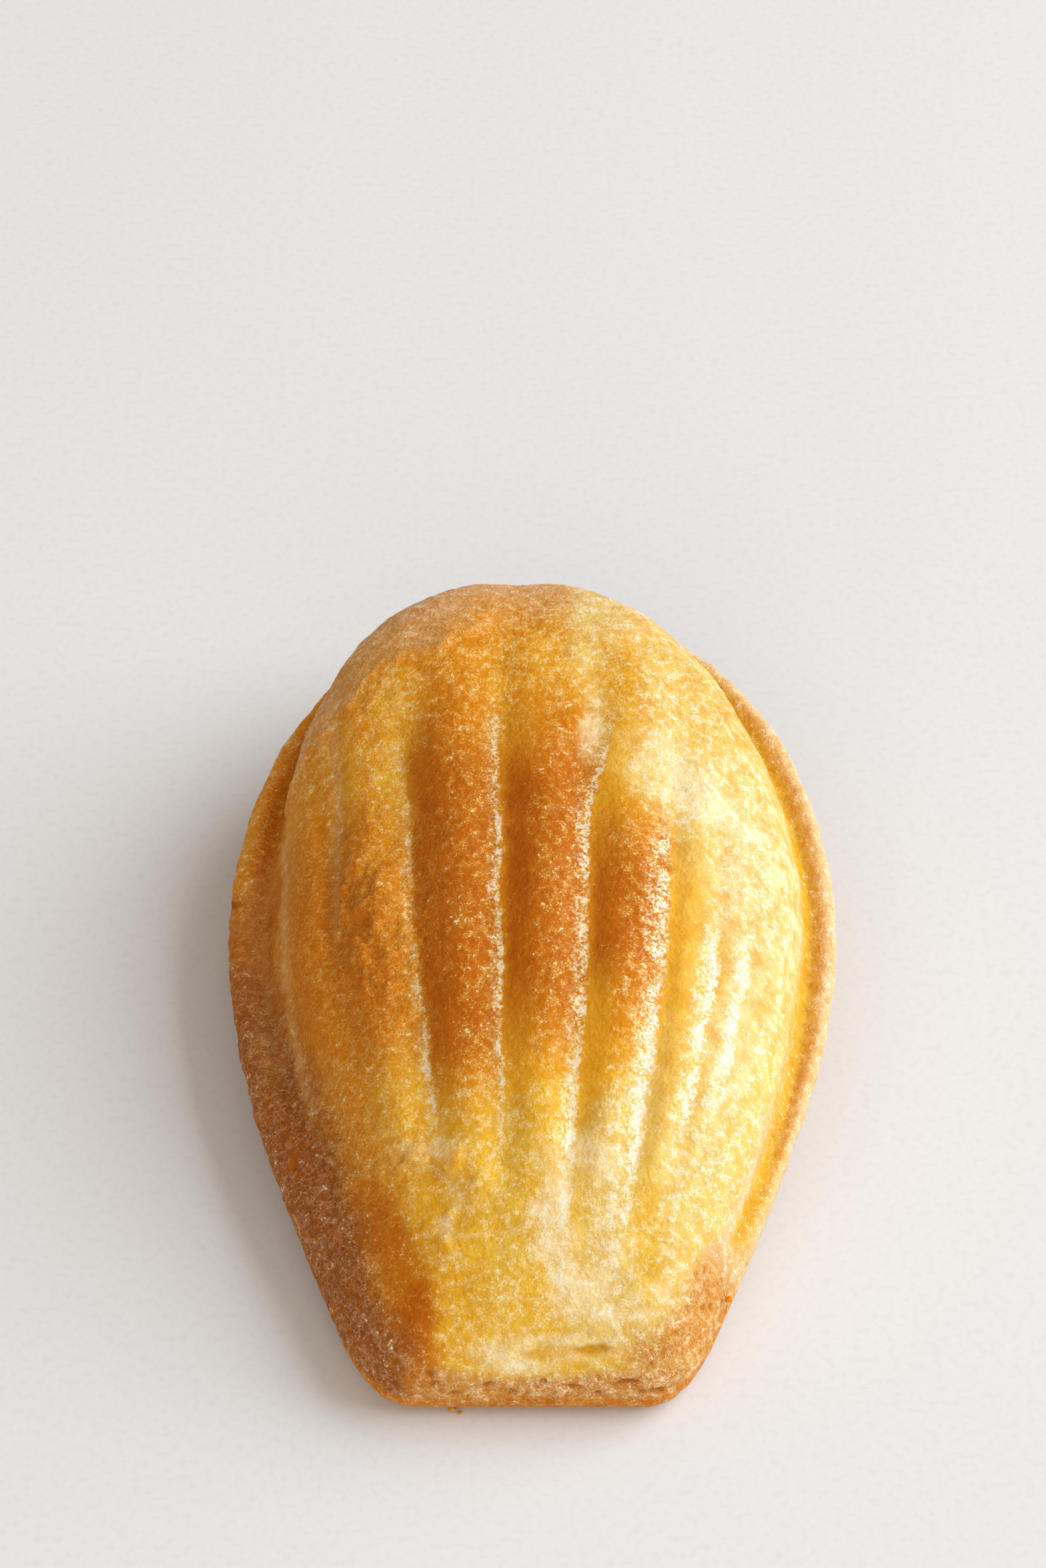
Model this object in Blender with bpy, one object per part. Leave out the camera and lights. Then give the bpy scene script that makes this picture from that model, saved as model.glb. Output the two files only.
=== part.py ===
"""Madeleine: a small shell-shaped sponge cake, lying with its ribbed side up.

Metres, +Z up. The narrow end, called the nose, points to -Y and the wide round end to +Y.
The shell is drawn with its rim in the plane z = 0, as rings of points that run from the hem
over the lip and the groove beside it to the dome's foot, and on over the ribbed dome to a
spine along its middle. It is then tipped nose down, and a low underside with a small flat
resting spot is drawn from its hem down to the table.
"""

import math

import bmesh
import bpy
import numpy as np
from mathutils import Matrix, Vector
from mathutils.geometry import interpolate_bezier

MM = 0.001

# The shell's plan
LENGTH = 76.0 * MM
HALF_WIDTHS = {"left": 23.9 * MM, "right": 24.6 * MM}
BELLY_Y = 4.5 * MM               # where the shell is widest
NOSE_HALF = 9.0 * MM             # half the straight edge at the nose
CORNER_X = 13.8 * MM             # where a nose corner runs into the flank
CORNER_Y = -33.0 * MM
CORNER_PULLS = [(2.0 * MM, 0.0), (-1.1 * MM, -2.4 * MM)]    # a corner's curve handles
FLANK_PULLS = [(4.2 * MM, 10.5 * MM), (0.0, -14.0 * MM)]    # a flank's curve handles
SHOULDER_PULLS = {"left": 0.54, "right": 0.60}      # roundness of the far end beside the belly
TIP_PULLS = {"left": 0.58, "right": 0.60}           # and at its tip

# The dome, above the rim's plane
DOME_HEIGHT = 13.2 * MM
CROWN_Y = 5.0 * MM               # the highest point
SPINE_FRONT = -20.0 * MM         # the dome's rings close on a spine between these two
SPINE_BACK = 20.0 * MM
CREST_POWERS = {"front": (1.9, 0.85), "back": (2.7, 0.52)}  # how full it is lengthwise
SECTION_POWERS = {"flank": 2.2, "end": 3.8}                 # and across
SECTION_ROUNDING = 0.62

# The grooves between the ribs: each one's place across the shell, as a share of the outline's
# half width, and its depth, which gets less down the right flank
GROOVES = [
    (-0.79, 1.0 * MM),
    (-0.655, 0.9 * MM),
    (-0.39, 0.8 * MM),
    (-0.10, 0.8 * MM),
    (0.175, 0.8 * MM),
    (0.44, 0.55 * MM),
    (0.61, 0.3 * MM),
    (0.73, 0.2 * MM),
]
GROOVE_SPREAD = 0.3              # behind the belly they part by this share of each step back
GROOVE_SHARPNESS = 2.6           # a higher power leaves broad ribs and narrow grooves
RIBS_START = (-32.0 * MM, -17.0 * MM)       # where they rise out of the nose
RIBS_END = (6.0 * MM, 27.0 * MM)            # where they melt into the round end
RIBS_EDGE = (0.80, 0.97)                    # where they melt into the dome's foot

# Edge profile, from the hem up to the dome's foot: how far in from the outline, and how high,
# first along the flanks, then at the round end and last at the nose, whose wall is tall
EDGE_PROFILE = [
    [(1.9 * MM, -3.4 * MM), (1.9 * MM, -3.4 * MM), (1.2 * MM, -2.4 * MM)],
    [(0.5 * MM, -2.3 * MM), (0.5 * MM, -2.3 * MM), (0.3 * MM, -1.8 * MM)],
    [(0.0 * MM, -1.1 * MM), (0.0 * MM, -1.1 * MM), (0.0 * MM, -0.7 * MM)],
    [(0.4 * MM, 0.0 * MM), (0.3 * MM, 0.0 * MM), (0.3 * MM, 0.7 * MM)],
    [(1.1 * MM, 0.5 * MM), (0.9 * MM, 0.4 * MM), (0.6 * MM, 1.9 * MM)],
    [(1.9 * MM, 0.3 * MM), (1.5 * MM, 0.2 * MM), (1.0 * MM, 2.9 * MM)],
    [(2.6 * MM, -0.1 * MM), (2.1 * MM, 0.0 * MM), (1.5 * MM, 3.6 * MM)],
    [(3.1 * MM, 0.7 * MM), (2.5 * MM, 1.0 * MM), (2.1 * MM, 4.1 * MM)],
    [(3.5 * MM, 2.3 * MM), (2.8 * MM, 2.7 * MM), (2.8 * MM, 4.4 * MM)],
    [(4.0 * MM, 3.8 * MM), (3.2 * MM, 4.4 * MM), (3.7 * MM, 4.7 * MM)],
]
NOSE_REACH_LEFT = (-36.0 * MM, 2.0 * MM)    # from all nose to all flank
NOSE_REACH_RIGHT = (-37.0 * MM, -16.0 * MM)
SIDE_REACH = (-5.0 * MM, 5.0 * MM)          # from all left to all right
END_REACH = (8.0 * MM, 34.0 * MM)           # from all flank to all round end

# The dome sits askew on its base: how much wider the left wall is than the mean
LEAN_FRONT = 0.5
LEAN_BELLY = 0.15
LEAN_END = -0.35
LEAN_REACH = (-22.0 * MM, 0.0 * MM)

# How the shell lies
NOSE_DOWN_DEG = 7.0
NOSE_CLEARANCE = 0.3 * MM        # the nose's hem just clears the table
REST_SPOT_SIZE = (20.0 * MM, 28.0 * MM)
REST_SPOT_Y = 2.0 * MM
UNDERSIDE_POWER = 2.5            # a higher power gives a fuller underside

# Where the nose is softened, and how often
SOFT_NOSE_Y = -26.0 * MM
SOFT_NOSE_Z = 5.0 * MM
SOFT_NOSE_PASSES = 8

# Resolution
HALF_RAYS = 56
DOME_RINGS = 23
UNDERSIDE_RINGS = 7
CURVE_STEPS = 24
WELD_DISTANCE = 0.001 * MM
LEAST_HALF_WIDTH = 0.1 * MM

CRUST_COLOUR = (0.74, 0.40, 0.10, 1.0)
CRUST_ROUGHNESS = 0.5


def smoothstep(reach, value):
    """0 before the reach, 1 after it, and a smooth rise between."""
    low, high = reach
    t = min(max((value - low) / (high - low), 0.0), 1.0)
    return t * t * (3.0 - 2.0 * t)


def blend(a, b, weight):
    """a at weight 0, b at weight 1."""
    return a + (b - a) * weight


def nose_weight(x, y):
    """1 at the nose, 0 further back: the nose's tall wall runs further along the left flank."""
    left, right = smoothstep(NOSE_REACH_LEFT, y), smoothstep(NOSE_REACH_RIGHT, y)
    return 1.0 - blend(left, right, smoothstep(SIDE_REACH, x))


def end_weight(y):
    """1 at the round end, 0 from the belly forwards."""
    return smoothstep(END_REACH, y)


def curve(start, first_pull, second_pull, end):
    """A cubic curve between two (x, y) points, each with the handle that pulls on it."""
    handles = [start, np.add(start, first_pull), np.add(end, second_pull), end]
    corners = [Vector((x, y, 0.0)) for x, y in handles]
    return [(p.x, p.y) for p in interpolate_bezier(*corners, CURVE_STEPS)]


def half_outline(side):
    """One half of the rim's outline at x > 0, from the nose's middle round to the far tip."""
    front, back = -LENGTH / 2.0, LENGTH / 2.0
    belly, corner_end = (HALF_WIDTHS[side], BELLY_Y), (CORNER_X, CORNER_Y)
    shoulder_pull = (0.0, (back - BELLY_Y) * SHOULDER_PULLS[side])
    tip_pull = (HALF_WIDTHS[side] * TIP_PULLS[side], 0.0)
    line = [(0.0, front)]
    line += curve((NOSE_HALF, front), *CORNER_PULLS, corner_end)
    line += curve(corner_end, *FLANK_PULLS, belly)[1:]
    line += curve(belly, shoulder_pull, tip_pull, (0.0, back))[1:]
    return line


def resample(points, count):
    """The line through the points, as count points an equal distance apart."""
    line = np.array(points)
    steps = np.linalg.norm(np.diff(line, axis=0), axis=1)
    along = np.concatenate([[0.0], np.cumsum(steps)])
    wanted = np.linspace(0.0, along[-1], count)
    return np.column_stack([np.interp(wanted, along, line[:, i]) for i in range(2)])


def outline():
    """The rim's outline, anticlockwise from the nose's middle; point i faces point -i."""
    right = resample(half_outline("right"), HALF_RAYS + 1)
    left = resample(half_outline("left"), HALF_RAYS + 1)
    return np.vstack([right, left[-2:0:-1] * [-1.0, 1.0]])


def inward_normals(loop):
    """Unit normals of an anticlockwise loop, pointing to its inside."""
    tangent = np.roll(loop, -1, axis=0) - np.roll(loop, 1, axis=0)
    tangent /= np.linalg.norm(tangent, axis=1)[:, None]
    return np.column_stack([-tangent[:, 1], tangent[:, 0]])


def dome_lean(y):
    """How much wider the left wall is than the right one, as a share of the mean."""
    lean = blend(LEAN_FRONT, LEAN_BELLY, smoothstep(LEAN_REACH, y))
    return blend(lean, LEAN_END, end_weight(y))


def edge_point(stage, x, y):
    """How far in and how high the edge's profile is at one of its stages, near x and y."""
    flank, end, nose = EDGE_PROFILE[stage]
    return [
        blend(blend(flank[i], end[i], end_weight(y)), nose[i], nose_weight(x, y))
        for i in range(2)
    ]


def edge_rings(loop):
    """Rings of points from the hem, over the lip and groove, to the dome's foot."""
    rings = []
    normals = inward_normals(loop)
    for stage in range(len(EDGE_PROFILE)):
        ring = []
        for (x, y), (nx, ny) in zip(loop, normals):
            inward, height = edge_point(stage, x, y)
            inward *= 1.0 + dome_lean(y) * nx
            ring.append(Vector((x + nx * inward, y + ny * inward, height)))
        rings.append(ring)
    return rings


class Span:
    """How far a closed loop of points reaches to the left and right, at any y."""

    def __init__(self, points):
        self.right = self.side(points, 1.0)
        self.left = self.side(points, -1.0)
        self.front = min(self.right[0][0], self.left[0][0])
        self.back = max(self.right[0][-1], self.left[0][-1])

    @staticmethod
    def side(points, sign):
        """Ascending y values and distances from x = 0 of the points on one side."""
        return np.array(sorted((p[1], sign * p[0]) for p in points if sign * p[0] >= 0.0)).T

    def at(self, y):
        """Middle and half width of the loop at y."""
        left = np.interp(y, *self.left)
        right = np.interp(y, *self.right)
        return (right - left) / 2.0, max((right + left) / 2.0, LEAST_HALF_WIDTH)


def crest_height(y, foot):
    """Height of the dome's middle line above its foot, as a share of the whole."""
    side, reach = ("back", foot.back) if y > CROWN_Y else ("front", foot.front)
    fullness, rounding = CREST_POWERS[side]
    share = min((y - CROWN_Y) / (reach - CROWN_Y), 1.0)
    return (1.0 - share ** fullness) ** rounding


def section_height(share, y):
    """Height across the dome: 1 in the middle, 0 at its foot, where share is 1 or -1."""
    fullness = blend(SECTION_POWERS["flank"], SECTION_POWERS["end"], end_weight(y))
    return (1.0 - min(abs(share), 1.0) ** fullness) ** SECTION_ROUNDING


def groove_depth(x, y, rim):
    """Depth below the ribs' crests. Behind the belly the grooves spread a little."""
    middle, half = rim.at(min(y, BELLY_Y))
    half += GROOVE_SPREAD * max(y - BELLY_Y, 0.0)
    share = (x - middle) / half
    relief = 0.0
    for (left, left_depth), (right, right_depth) in zip(GROOVES, GROOVES[1:]):
        if left <= share <= right:
            rise = math.cos(math.pi * (share - left) / (right - left))
            depth = left_depth if rise > 0.0 else right_depth
            relief = depth * abs(rise) ** GROOVE_SHARPNESS
    return relief * smoothstep(RIBS_START, y) * (1.0 - smoothstep(RIBS_END, y))


def spine_points(foot_ring, foot):
    """Where each of the foot's rays ends: a left ray and the right ray facing it share one."""
    points = []
    for i, point in enumerate(foot_ring):
        pair_y = (point.y + foot_ring[-i].y) / 2.0
        y = blend(SPINE_FRONT, SPINE_BACK, (pair_y - foot.front) / (foot.back - foot.front))
        points.append((foot.at(y)[0], y))
    return points


def dome_rings(foot_ring, loop):
    """Rings from inside the dome's foot to the spine, with the ribs' grooves."""
    foot, rim = Span(foot_ring), Span(loop)
    spine = spine_points(foot_ring, foot)
    rings = []
    for step in range(1, DOME_RINGS + 1):
        t = 1.0 - step / DOME_RINGS
        ring = []
        for point, (spine_x, spine_y) in zip(foot_ring, spine):
            x, y = blend(spine_x, point.x, t), blend(spine_y, point.y, t)
            middle, half = foot.at(y)
            rise = crest_height(y, foot) * section_height((x - middle) / half, y)
            height = blend(edge_point(-1, x, y)[1], DOME_HEIGHT, rise)
            groove = groove_depth(x, y, rim) * (1.0 - smoothstep(RIBS_EDGE, t))
            ring.append(Vector((x, y, height - groove)))
        rings.append(ring)
    return rings


def tip_and_stand(rings):
    """Tips the shell nose down and lifts it until the nose's hem just clears the table."""
    tip = Matrix.Rotation(math.radians(NOSE_DOWN_DEG), 3, "X")
    rings = [[tip @ point for point in ring] for ring in rings]
    lift = NOSE_CLEARANCE - min(point.z for point in rings[0])
    up = Vector((0.0, 0.0, lift))
    return [[point + up for point in ring] for ring in rings]


def underside_rings(hem):
    """Rings from inside the hem down to the edge of the flat resting spot at z = 0."""
    half_x, half_y = REST_SPOT_SIZE[0] / 2.0, REST_SPOT_SIZE[1] / 2.0
    rings = []
    for step in range(1, UNDERSIDE_RINGS + 1):
        t = 1.0 - step / UNDERSIDE_RINGS
        ring = []
        for point in hem:
            angle = math.atan2(point.y - REST_SPOT_Y, point.x)
            spot_x, spot_y = half_x * math.cos(angle), REST_SPOT_Y + half_y * math.sin(angle)
            x, y = blend(spot_x, point.x, t), blend(spot_y, point.y, t)
            ring.append(Vector((x, y, point.z * t ** UNDERSIDE_POWER)))
        rings.append(ring)
    return rings


def soften_nose(mesh):
    """Rounds the creases where the nose's wall meets the dome."""
    verts = [vert for vert in mesh.verts if vert.co.y < SOFT_NOSE_Y and vert.co.z > SOFT_NOSE_Z]
    for _ in range(SOFT_NOSE_PASSES):
        bmesh.ops.smooth_vert(
            mesh, verts=verts, factor=0.5, use_axis_x=True, use_axis_y=True, use_axis_z=True
        )


def loft(rings):
    """One closed mesh: a flat resting face, then rings joined by quads up to the spine."""
    mesh = bmesh.new()
    loops = [[mesh.verts.new(point) for point in ring] for ring in rings]
    for lower, upper in zip(loops, loops[1:]):
        for i in range(len(lower)):
            mesh.faces.new((lower[i - 1], lower[i], upper[i], upper[i - 1]))
    mesh.faces.new(list(reversed(loops[0])))
    bmesh.ops.remove_doubles(mesh, verts=mesh.verts, dist=WELD_DISTANCE)
    bmesh.ops.dissolve_degenerate(mesh, edges=mesh.edges, dist=WELD_DISTANCE)
    bmesh.ops.recalc_face_normals(mesh, faces=mesh.faces)
    return mesh


def centre_over_origin(rings):
    """Moves the rings so that the middle of their box lies over the origin."""
    points = [point for ring in rings for point in ring]
    low = [min(point[axis] for point in points) for axis in range(2)]
    high = [max(point[axis] for point in points) for axis in range(2)]
    shift = Vector(((low[0] + high[0]) / 2.0, (low[1] + high[1]) / 2.0, 0.0))
    return [[point - shift for point in ring] for ring in rings]


def build_madeleine():
    """The cake as one object."""
    loop = outline()
    edge = edge_rings(loop)
    shell = tip_and_stand(edge + dome_rings(edge[-1], loop))
    rings = centre_over_origin(underside_rings(shell[0])[::-1] + shell)
    mesh = loft(rings)
    soften_nose(mesh)
    data = bpy.data.meshes.new("madeleine")
    mesh.to_mesh(data)
    mesh.free()
    data.shade_smooth()
    cake = bpy.data.objects.new("madeleine", data)
    bpy.context.collection.objects.link(cake)
    return cake


def crust_material():
    """Golden buttery crust."""
    material = bpy.data.materials.new("golden_crust")
    material.use_nodes = True
    shader = material.node_tree.nodes["Principled BSDF"]
    shader.inputs["Base Color"].default_value = CRUST_COLOUR
    shader.inputs["Roughness"].default_value = CRUST_ROUGHNESS
    shader.inputs["Metallic"].default_value = 0.0
    return material


def clear_scene():
    """Removes every object that a new file starts with."""
    for item in list(bpy.data.objects):
        bpy.data.objects.remove(item, do_unlink=True)


def main():
    """Builds the cake in an empty scene."""
    clear_scene()
    cake = build_madeleine()
    cake.data.materials.append(crust_material())


main()
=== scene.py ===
"""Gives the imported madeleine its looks: ribbed buttery crust, open crumb, loose crumbs, a pale
table and soft window light. Metres, +Z up; the cake's narrow nose points to -Y.

Places and sizes on the cake are in millimetres. Where the nose drops away, a spot is told by
its x and by y + z, which grows both up the front wall and back along the top. The first two
numbers given to smoothstep, and the last two given to ramp, are where a soft edge starts and
ends; a bare number that multiplies a mark or a mask is its strength.
"""

from __future__ import annotations

import logging
import math
import random
from dataclasses import dataclass, field
from enum import Enum, IntEnum

import bpy
import numpy as np
from mathutils import Euler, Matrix, Vector, kdtree, noise

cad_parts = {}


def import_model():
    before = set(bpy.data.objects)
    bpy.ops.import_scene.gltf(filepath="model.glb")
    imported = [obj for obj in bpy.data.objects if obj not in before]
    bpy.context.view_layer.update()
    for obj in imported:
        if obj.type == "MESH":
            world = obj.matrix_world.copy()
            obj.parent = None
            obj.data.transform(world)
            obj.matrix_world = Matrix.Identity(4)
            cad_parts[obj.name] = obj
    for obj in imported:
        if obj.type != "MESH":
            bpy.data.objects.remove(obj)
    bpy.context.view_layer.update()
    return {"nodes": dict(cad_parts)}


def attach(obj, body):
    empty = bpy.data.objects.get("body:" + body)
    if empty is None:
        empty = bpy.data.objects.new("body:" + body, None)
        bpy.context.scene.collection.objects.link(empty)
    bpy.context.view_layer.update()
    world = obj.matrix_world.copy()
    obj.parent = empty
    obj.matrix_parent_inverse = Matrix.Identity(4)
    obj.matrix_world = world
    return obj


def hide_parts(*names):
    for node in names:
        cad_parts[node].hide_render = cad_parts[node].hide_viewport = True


LOG = logging.getLogger("madeleine")
NODE = "madeleine"
BODY = "root"
MM = 0.001
SEED = 11

Array = np.ndarray
Colour = tuple[float, float, float]
Edge = tuple[float, float]


class Lumps(IntEnum):
    """Seeds of the separate noises that shape the cake."""

    WANDER = 1
    FRAY = 2
    WANDER_Y = 3
    BROAD = 4
    MIDDLE = 5
    FLAKES = 6
    TORN = 7
    GRAIN = 8
    FINE_GRAIN = 9
    GLEAM = 12
    RAGGED = 14
    RUFFLE = 16
    ROUGH = 21


class Pits(IntEnum):
    """Seeds of the separate scatters of pores."""

    LARGE = 3
    FINE = 5


# ---------------------------------------------------------------- helpers


def deselect_all() -> None:
    """Leaves no object selected."""
    for item in bpy.context.selected_objects:
        item.select_set(False)


def make_active(item: bpy.types.Object) -> None:
    """Selects one object alone and makes it the active one.

    Args:
        item: The object.
    """
    deselect_all()
    item.select_set(True)
    bpy.context.view_layer.objects.active = item


def smoothstep(low: float, high: float, value: Array) -> Array:
    """0 at low, 1 at high and a smooth rise between; high may be below low."""
    t = np.clip((value - low) / (high - low), 0.0, 1.0)
    return t * t * (3.0 - 2.0 * t)


def hump(centre: float, half_width: float, value: Array) -> Array:
    """1 at the centre, falling smoothly to 0 about two half widths away."""
    return np.exp(-(((value - centre) / half_width) ** 2))


def smooth_noise(points: Array, size: float, seed: Lumps) -> Array:
    """Smooth noise from about -1 to 1 at points in mm; the seed picks one of many."""
    shifted = points / size + np.array([seed * 17.3, seed * 5.9, seed * 11.1])
    return np.array([noise.noise(p) for p in shifted.tolist()])


def pit_noise(points: Array, spacing: float, seed: Pits) -> tuple[Array, Array]:
    """Distance to the nearest of many scattered pit centres.

    Args:
        points: Positions in millimetres, one row each.
        spacing: Mean distance between the pits, in millimetres.
        seed: Picks one scatter among many.

    Returns:
        Each point's distance to its nearest pit as a share of the spacing, and a random
        number from 0 to 1 that is the same all over one pit.
    """
    shifted = points / spacing + np.array([seed * 3.7, seed * 9.1, seed * 6.3])
    distance, lot = [], []
    for p in shifted.tolist():
        distances, centres = noise.voronoi(p)
        distance.append(distances[0])
        lot.append(noise.cell(centres[0] * 7.31) % 1.0)
    return np.array(distance), np.array(lot)


# ---------------------------------------------------------------- plan features


@dataclass(frozen=True)
class Patch:
    """A soft ellipse on the cake, seen from above, in millimetres."""

    x: float
    y: float
    half_x: float
    half_y: float
    strength: float = 1.0
    turn_deg: float = 0.0

    def weight(self, x: Array, y: Array) -> Array:
        """How strongly the patch covers places in plan.

        Args:
            x, y: The places, in millimetres.

        Returns:
            One weight for each place, from 0 to the patch's strength.
        """
        turn = math.radians(self.turn_deg)
        dx, dy = x - self.x, y - self.y
        along = (dx * math.cos(turn) + dy * math.sin(turn)) / self.half_x
        across = (dy * math.cos(turn) - dx * math.sin(turn)) / self.half_y
        return self.strength * smoothstep(1.5, 0.35, np.sqrt(along**2 + across**2))


def patches_weight(patches: list[Patch], x: Array, y: Array) -> Array:
    """The strongest of several patches at each plan position."""
    return np.max([patch.weight(x, y) for patch in patches], axis=0)


class Curve:
    """A bent line through a few points, held level beyond its ends."""

    def __init__(self, *points: tuple[float, float]) -> None:
        """Takes the points as (place, value), in order of place."""
        self.places, self.values = zip(*points)

    def at(self, place: Array) -> Array:
        """Its value at each place."""
        return np.interp(place, self.places, self.values)


# The cake's widest place, behind which the grooves fan out.
BELLY_Y = 4.5


@dataclass(frozen=True)
class Groove:
    """A narrow valley between two ribs.

    Attributes:
        share: Its place across the cake, as a share of the outline's half width.
        back, front: Where it ends, as y in millimetres.
        depth: How much deeper it is cut, in millimetres.
        gleam: How strongly a painted highlight line, laid on paler wet open crumb, runs along it; a
            dry groove has 0 and gets a painted pale sheen, the haze, instead.
        width: Half the width of that line, in millimetres.
        lean: How much its share grows with each millimetre behind the belly.
        drift: How much its share grows with each millimetre in front of the belly.
        toast: Where the rib on its right is browned, as (back, front, strength), or None.
        bare_end: How far across the rib on its right the smooth bare crust reaches.
    """

    share: float
    back: float
    front: float
    depth: float
    gleam: float
    width: float
    lean: float = 0.0
    drift: float = 0.0
    toast: tuple[float, float, float] | None = None
    bare_end: float = 0.60

    def place(self, y: Array) -> Array:
        """Its share of the half width at each y."""
        behind, before = np.maximum(y - BELLY_Y, 0.0), np.maximum(BELLY_Y - y, 0.0)
        return self.share + self.lean * behind + self.drift * before

    def reach(self, y: Array) -> Array:
        """How strongly it shows at each y, fading out at both ends."""
        fade = smoothstep(self.back + 3.0, self.back - 4.0, y)
        return fade * smoothstep(self.front - 2.0, self.front + 4.0, y)

    def bare(self, phase: Array, y: Array) -> Array:
        """Smooth bare crust on the rib to its right; its deeper colour and thinner crumb are partly
        painted shade on that slope.

        Args:
            phase: How far across that rib each point lies: 0 at this groove, 1 at the next.
            y: Each point's y, in millimetres.

        Returns:
            How bare each point is, from 0 to 1.
        """
        across = smoothstep(0.0, 0.10, phase)
        across *= smoothstep(self.bare_end, self.bare_end - 0.45, phase)
        return across * smoothstep(self.front + 1.0, self.front + 9.0, y)


@dataclass(frozen=True)
class Tail:
    """A soft valley that runs over the cake's round end, from front_x to back_x."""

    front_x: float
    back_x: float
    depth: float

    def cut(self, x: Array, y: Array) -> Array:
        """How deep it is at each plan position."""
        centre = np.interp(y, [8.0, 24.0], [self.front_x, self.back_x])
        return self.depth * hump(0.0, 1.5, x - centre)


GROOVES = [
    Groove(-0.80, 13.0, -17.0, 0.15, 0.0, 0.30, lean=0.007),
    Groove(-0.62, 23.0, -4.0, 0.25, 0.0, 0.35, lean=0.005),
    Groove(-0.397, 12.0, -21.5, 0.10, 0.55, 0.26, drift=0.0012, toast=(13.0, -17.0, 1.0)),
    Groove(-0.107, 14.0, -22.5, 0.0, 0.9, 0.28, toast=(13.0, -13.0, 1.0)),
    Groove(0.176, 13.0, -33.0, 0.0, 1.25, 0.36, lean=0.006, toast=(4.5, -10.5, 0.95)),
    Groove(0.428, 4.0, -31.0, 0.0, 1.6, 0.60, drift=0.0005, bare_end=0.95),
    Groove(0.61, -5.0, -22.0, 0.0, 1.3, 0.52, bare_end=0.8),
    Groove(0.715, -5.0, -19.0, 0.0, 0.9, 0.42),
]
# Shares where the rib on the left of the first groove starts and the last rib ends.
FIRST_RIB_START = -2.0
LAST_RIB_END = 0.92
TAILS = [Tail(-9.8, -8.8, 0.30), Tail(-2.9, -2.2, 0.32), Tail(5.6, 5.2, 0.18)]
# How far from a groove the crumb still knows of it, in half widths of its wet line.
LINE_LIMIT = 4.0
# The rim starts this high at the nose and rises towards the back.
NOSE_Y = -37.7
NOSE_RIM_Z = 2.9
RIM_TILT_DEG = 7.0

# Lines on the cake. First y against x, where the thin skin has torn off the far left side and
# where the browner skin of the round end begins.
SKIN_EDGE = Curve((-20.0, 14.0), (-15.5, 17.0), (-14.3, 18.2), (-13.2, 20.2), (-11.5, 21.2),
                  (-8.9, 21.8), (-6.7, 22.9), (-4.6, 24.8), (-1.4, 27.0))
FAR_SKIN_EDGE = Curve((-5.0, 26.5), (3.0, 28.0), (12.0, 26.5))
# Then against y: how wide the open side wall and the trench inside the rim are, and the x
# where the light side and the golden nose begin.
WALL_WIDTH = Curve((-37.0, 2.2), (-34.3, 2.8), (-29.6, 3.6), (-23.4, 4.0), (-16.7, 4.5),
                   (-10.2, 4.4), (-2.9, 3.4), (3.0, 1.8), (8.0, 1.0))
TRENCH_INSET = Curve((-26.0, 0.9), (-20.0, 1.4), (-12.5, 2.1), (-3.0, 2.5), (25.0, 2.6))
LIGHT_EDGE = Curve((-37.0, 2.4), (-33.0, 3.4), (-29.0, 3.6), (-24.0, 2.8), (-20.0, 4.6),
                   (-17.0, 7.6), (-13.0, 9.4), (-8.0, 10.8), (-2.5, 11.5), (4.0, 11.3),
                   (6.5, 8.8), (9.0, 6.8), (12.0, 5.4), (16.0, 4.2), (22.0, 3.2))
GOLD_EDGE = Curve((-34.0, -7.5), (-30.0, -8.3), (-27.0, -9.0), (-24.0, -10.0), (-21.0, -11.5),
                  (-17.0, -12.3))

# Patches in x and y: torn flakes, rough crumb, the chip in the left rim and the colours.
FLAKES = [
    Patch(-12.6, -2.0, 2.8, 8.0, 1.0, 12.0),
    Patch(-7.2, -23.6, 4.0, 1.4, 0.9, -20.0),
    Patch(-6.3, -28.3, 1.2, 1.6, 0.8),
]
ROUGH = [
    Patch(-11.5, -2.0, 4.5, 12.0, 1.0, 8.0),
    Patch(-17.5, 0.0, 3.0, 10.0, 0.8),
    Patch(-12.5, 18.5, 4.5, 2.5, 0.8, 20.0),
    Patch(-10.5, -22.0, 3.0, 6.0, 0.5),
]
CHIP = Patch(-24.2, 7.2, 1.6, 0.9)
# Pale cream crumb; the patch at (13.6, 8.0) is a painted sheen and the one at (-4.6, -25.8) a
# painted highlight.
CREAM_AND_SHEEN = [
    Patch(18.0, 2.5, 3.4, 8.5, 0.6, 8.0),
    Patch(13.6, 8.0, 2.4, 6.5, 1.0, 55.0),
    Patch(15.5, -12.0, 2.4, 9.0, 0.55, -10.0),
    Patch(4.5, 12.5, 0.9, 3.5, 0.4, -8.0),
    Patch(1.5, -29.0, 1.4, 5.5, 0.9, 6.0),
    Patch(2.6, -32.6, 1.5, 2.2, 1.0),
    Patch(4.2, -24.0, 1.7, 2.0, 0.8),
    Patch(4.8, -32.2, 1.8, 1.4, 1.0),
    Patch(6.3, -34.6, 2.2, 1.2, 0.8),
    Patch(9.6, -32.8, 0.9, 0.6, 0.9),
    Patch(-7.6, -22.6, 2.5, 1.3, 0.35, -14.0),
    Patch(-4.6, -25.8, 1.6, 1.1, 0.2, -30.0),
    Patch(-6.4, -28.0, 0.8, 0.9, 0.35),
]
GOLDEN = [
    Patch(-10.8, 12.0, 2.0, 8.0, 0.8),
    Patch(-10.3, -19.0, 1.9, 4.5, 1.0),
    Patch(-2.6, 17.0, 1.3, 6.0, 0.5),
    Patch(-14.8, 9.0, 1.6, 7.0, 0.5),
    Patch(4.5, 20.0, 8.0, 5.0, 0.55),
    Patch(7.2, 16.0, 1.8, 8.0, 0.9),
    Patch(7.5, 9.0, 2.6, 6.0, 0.8),
]
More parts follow.
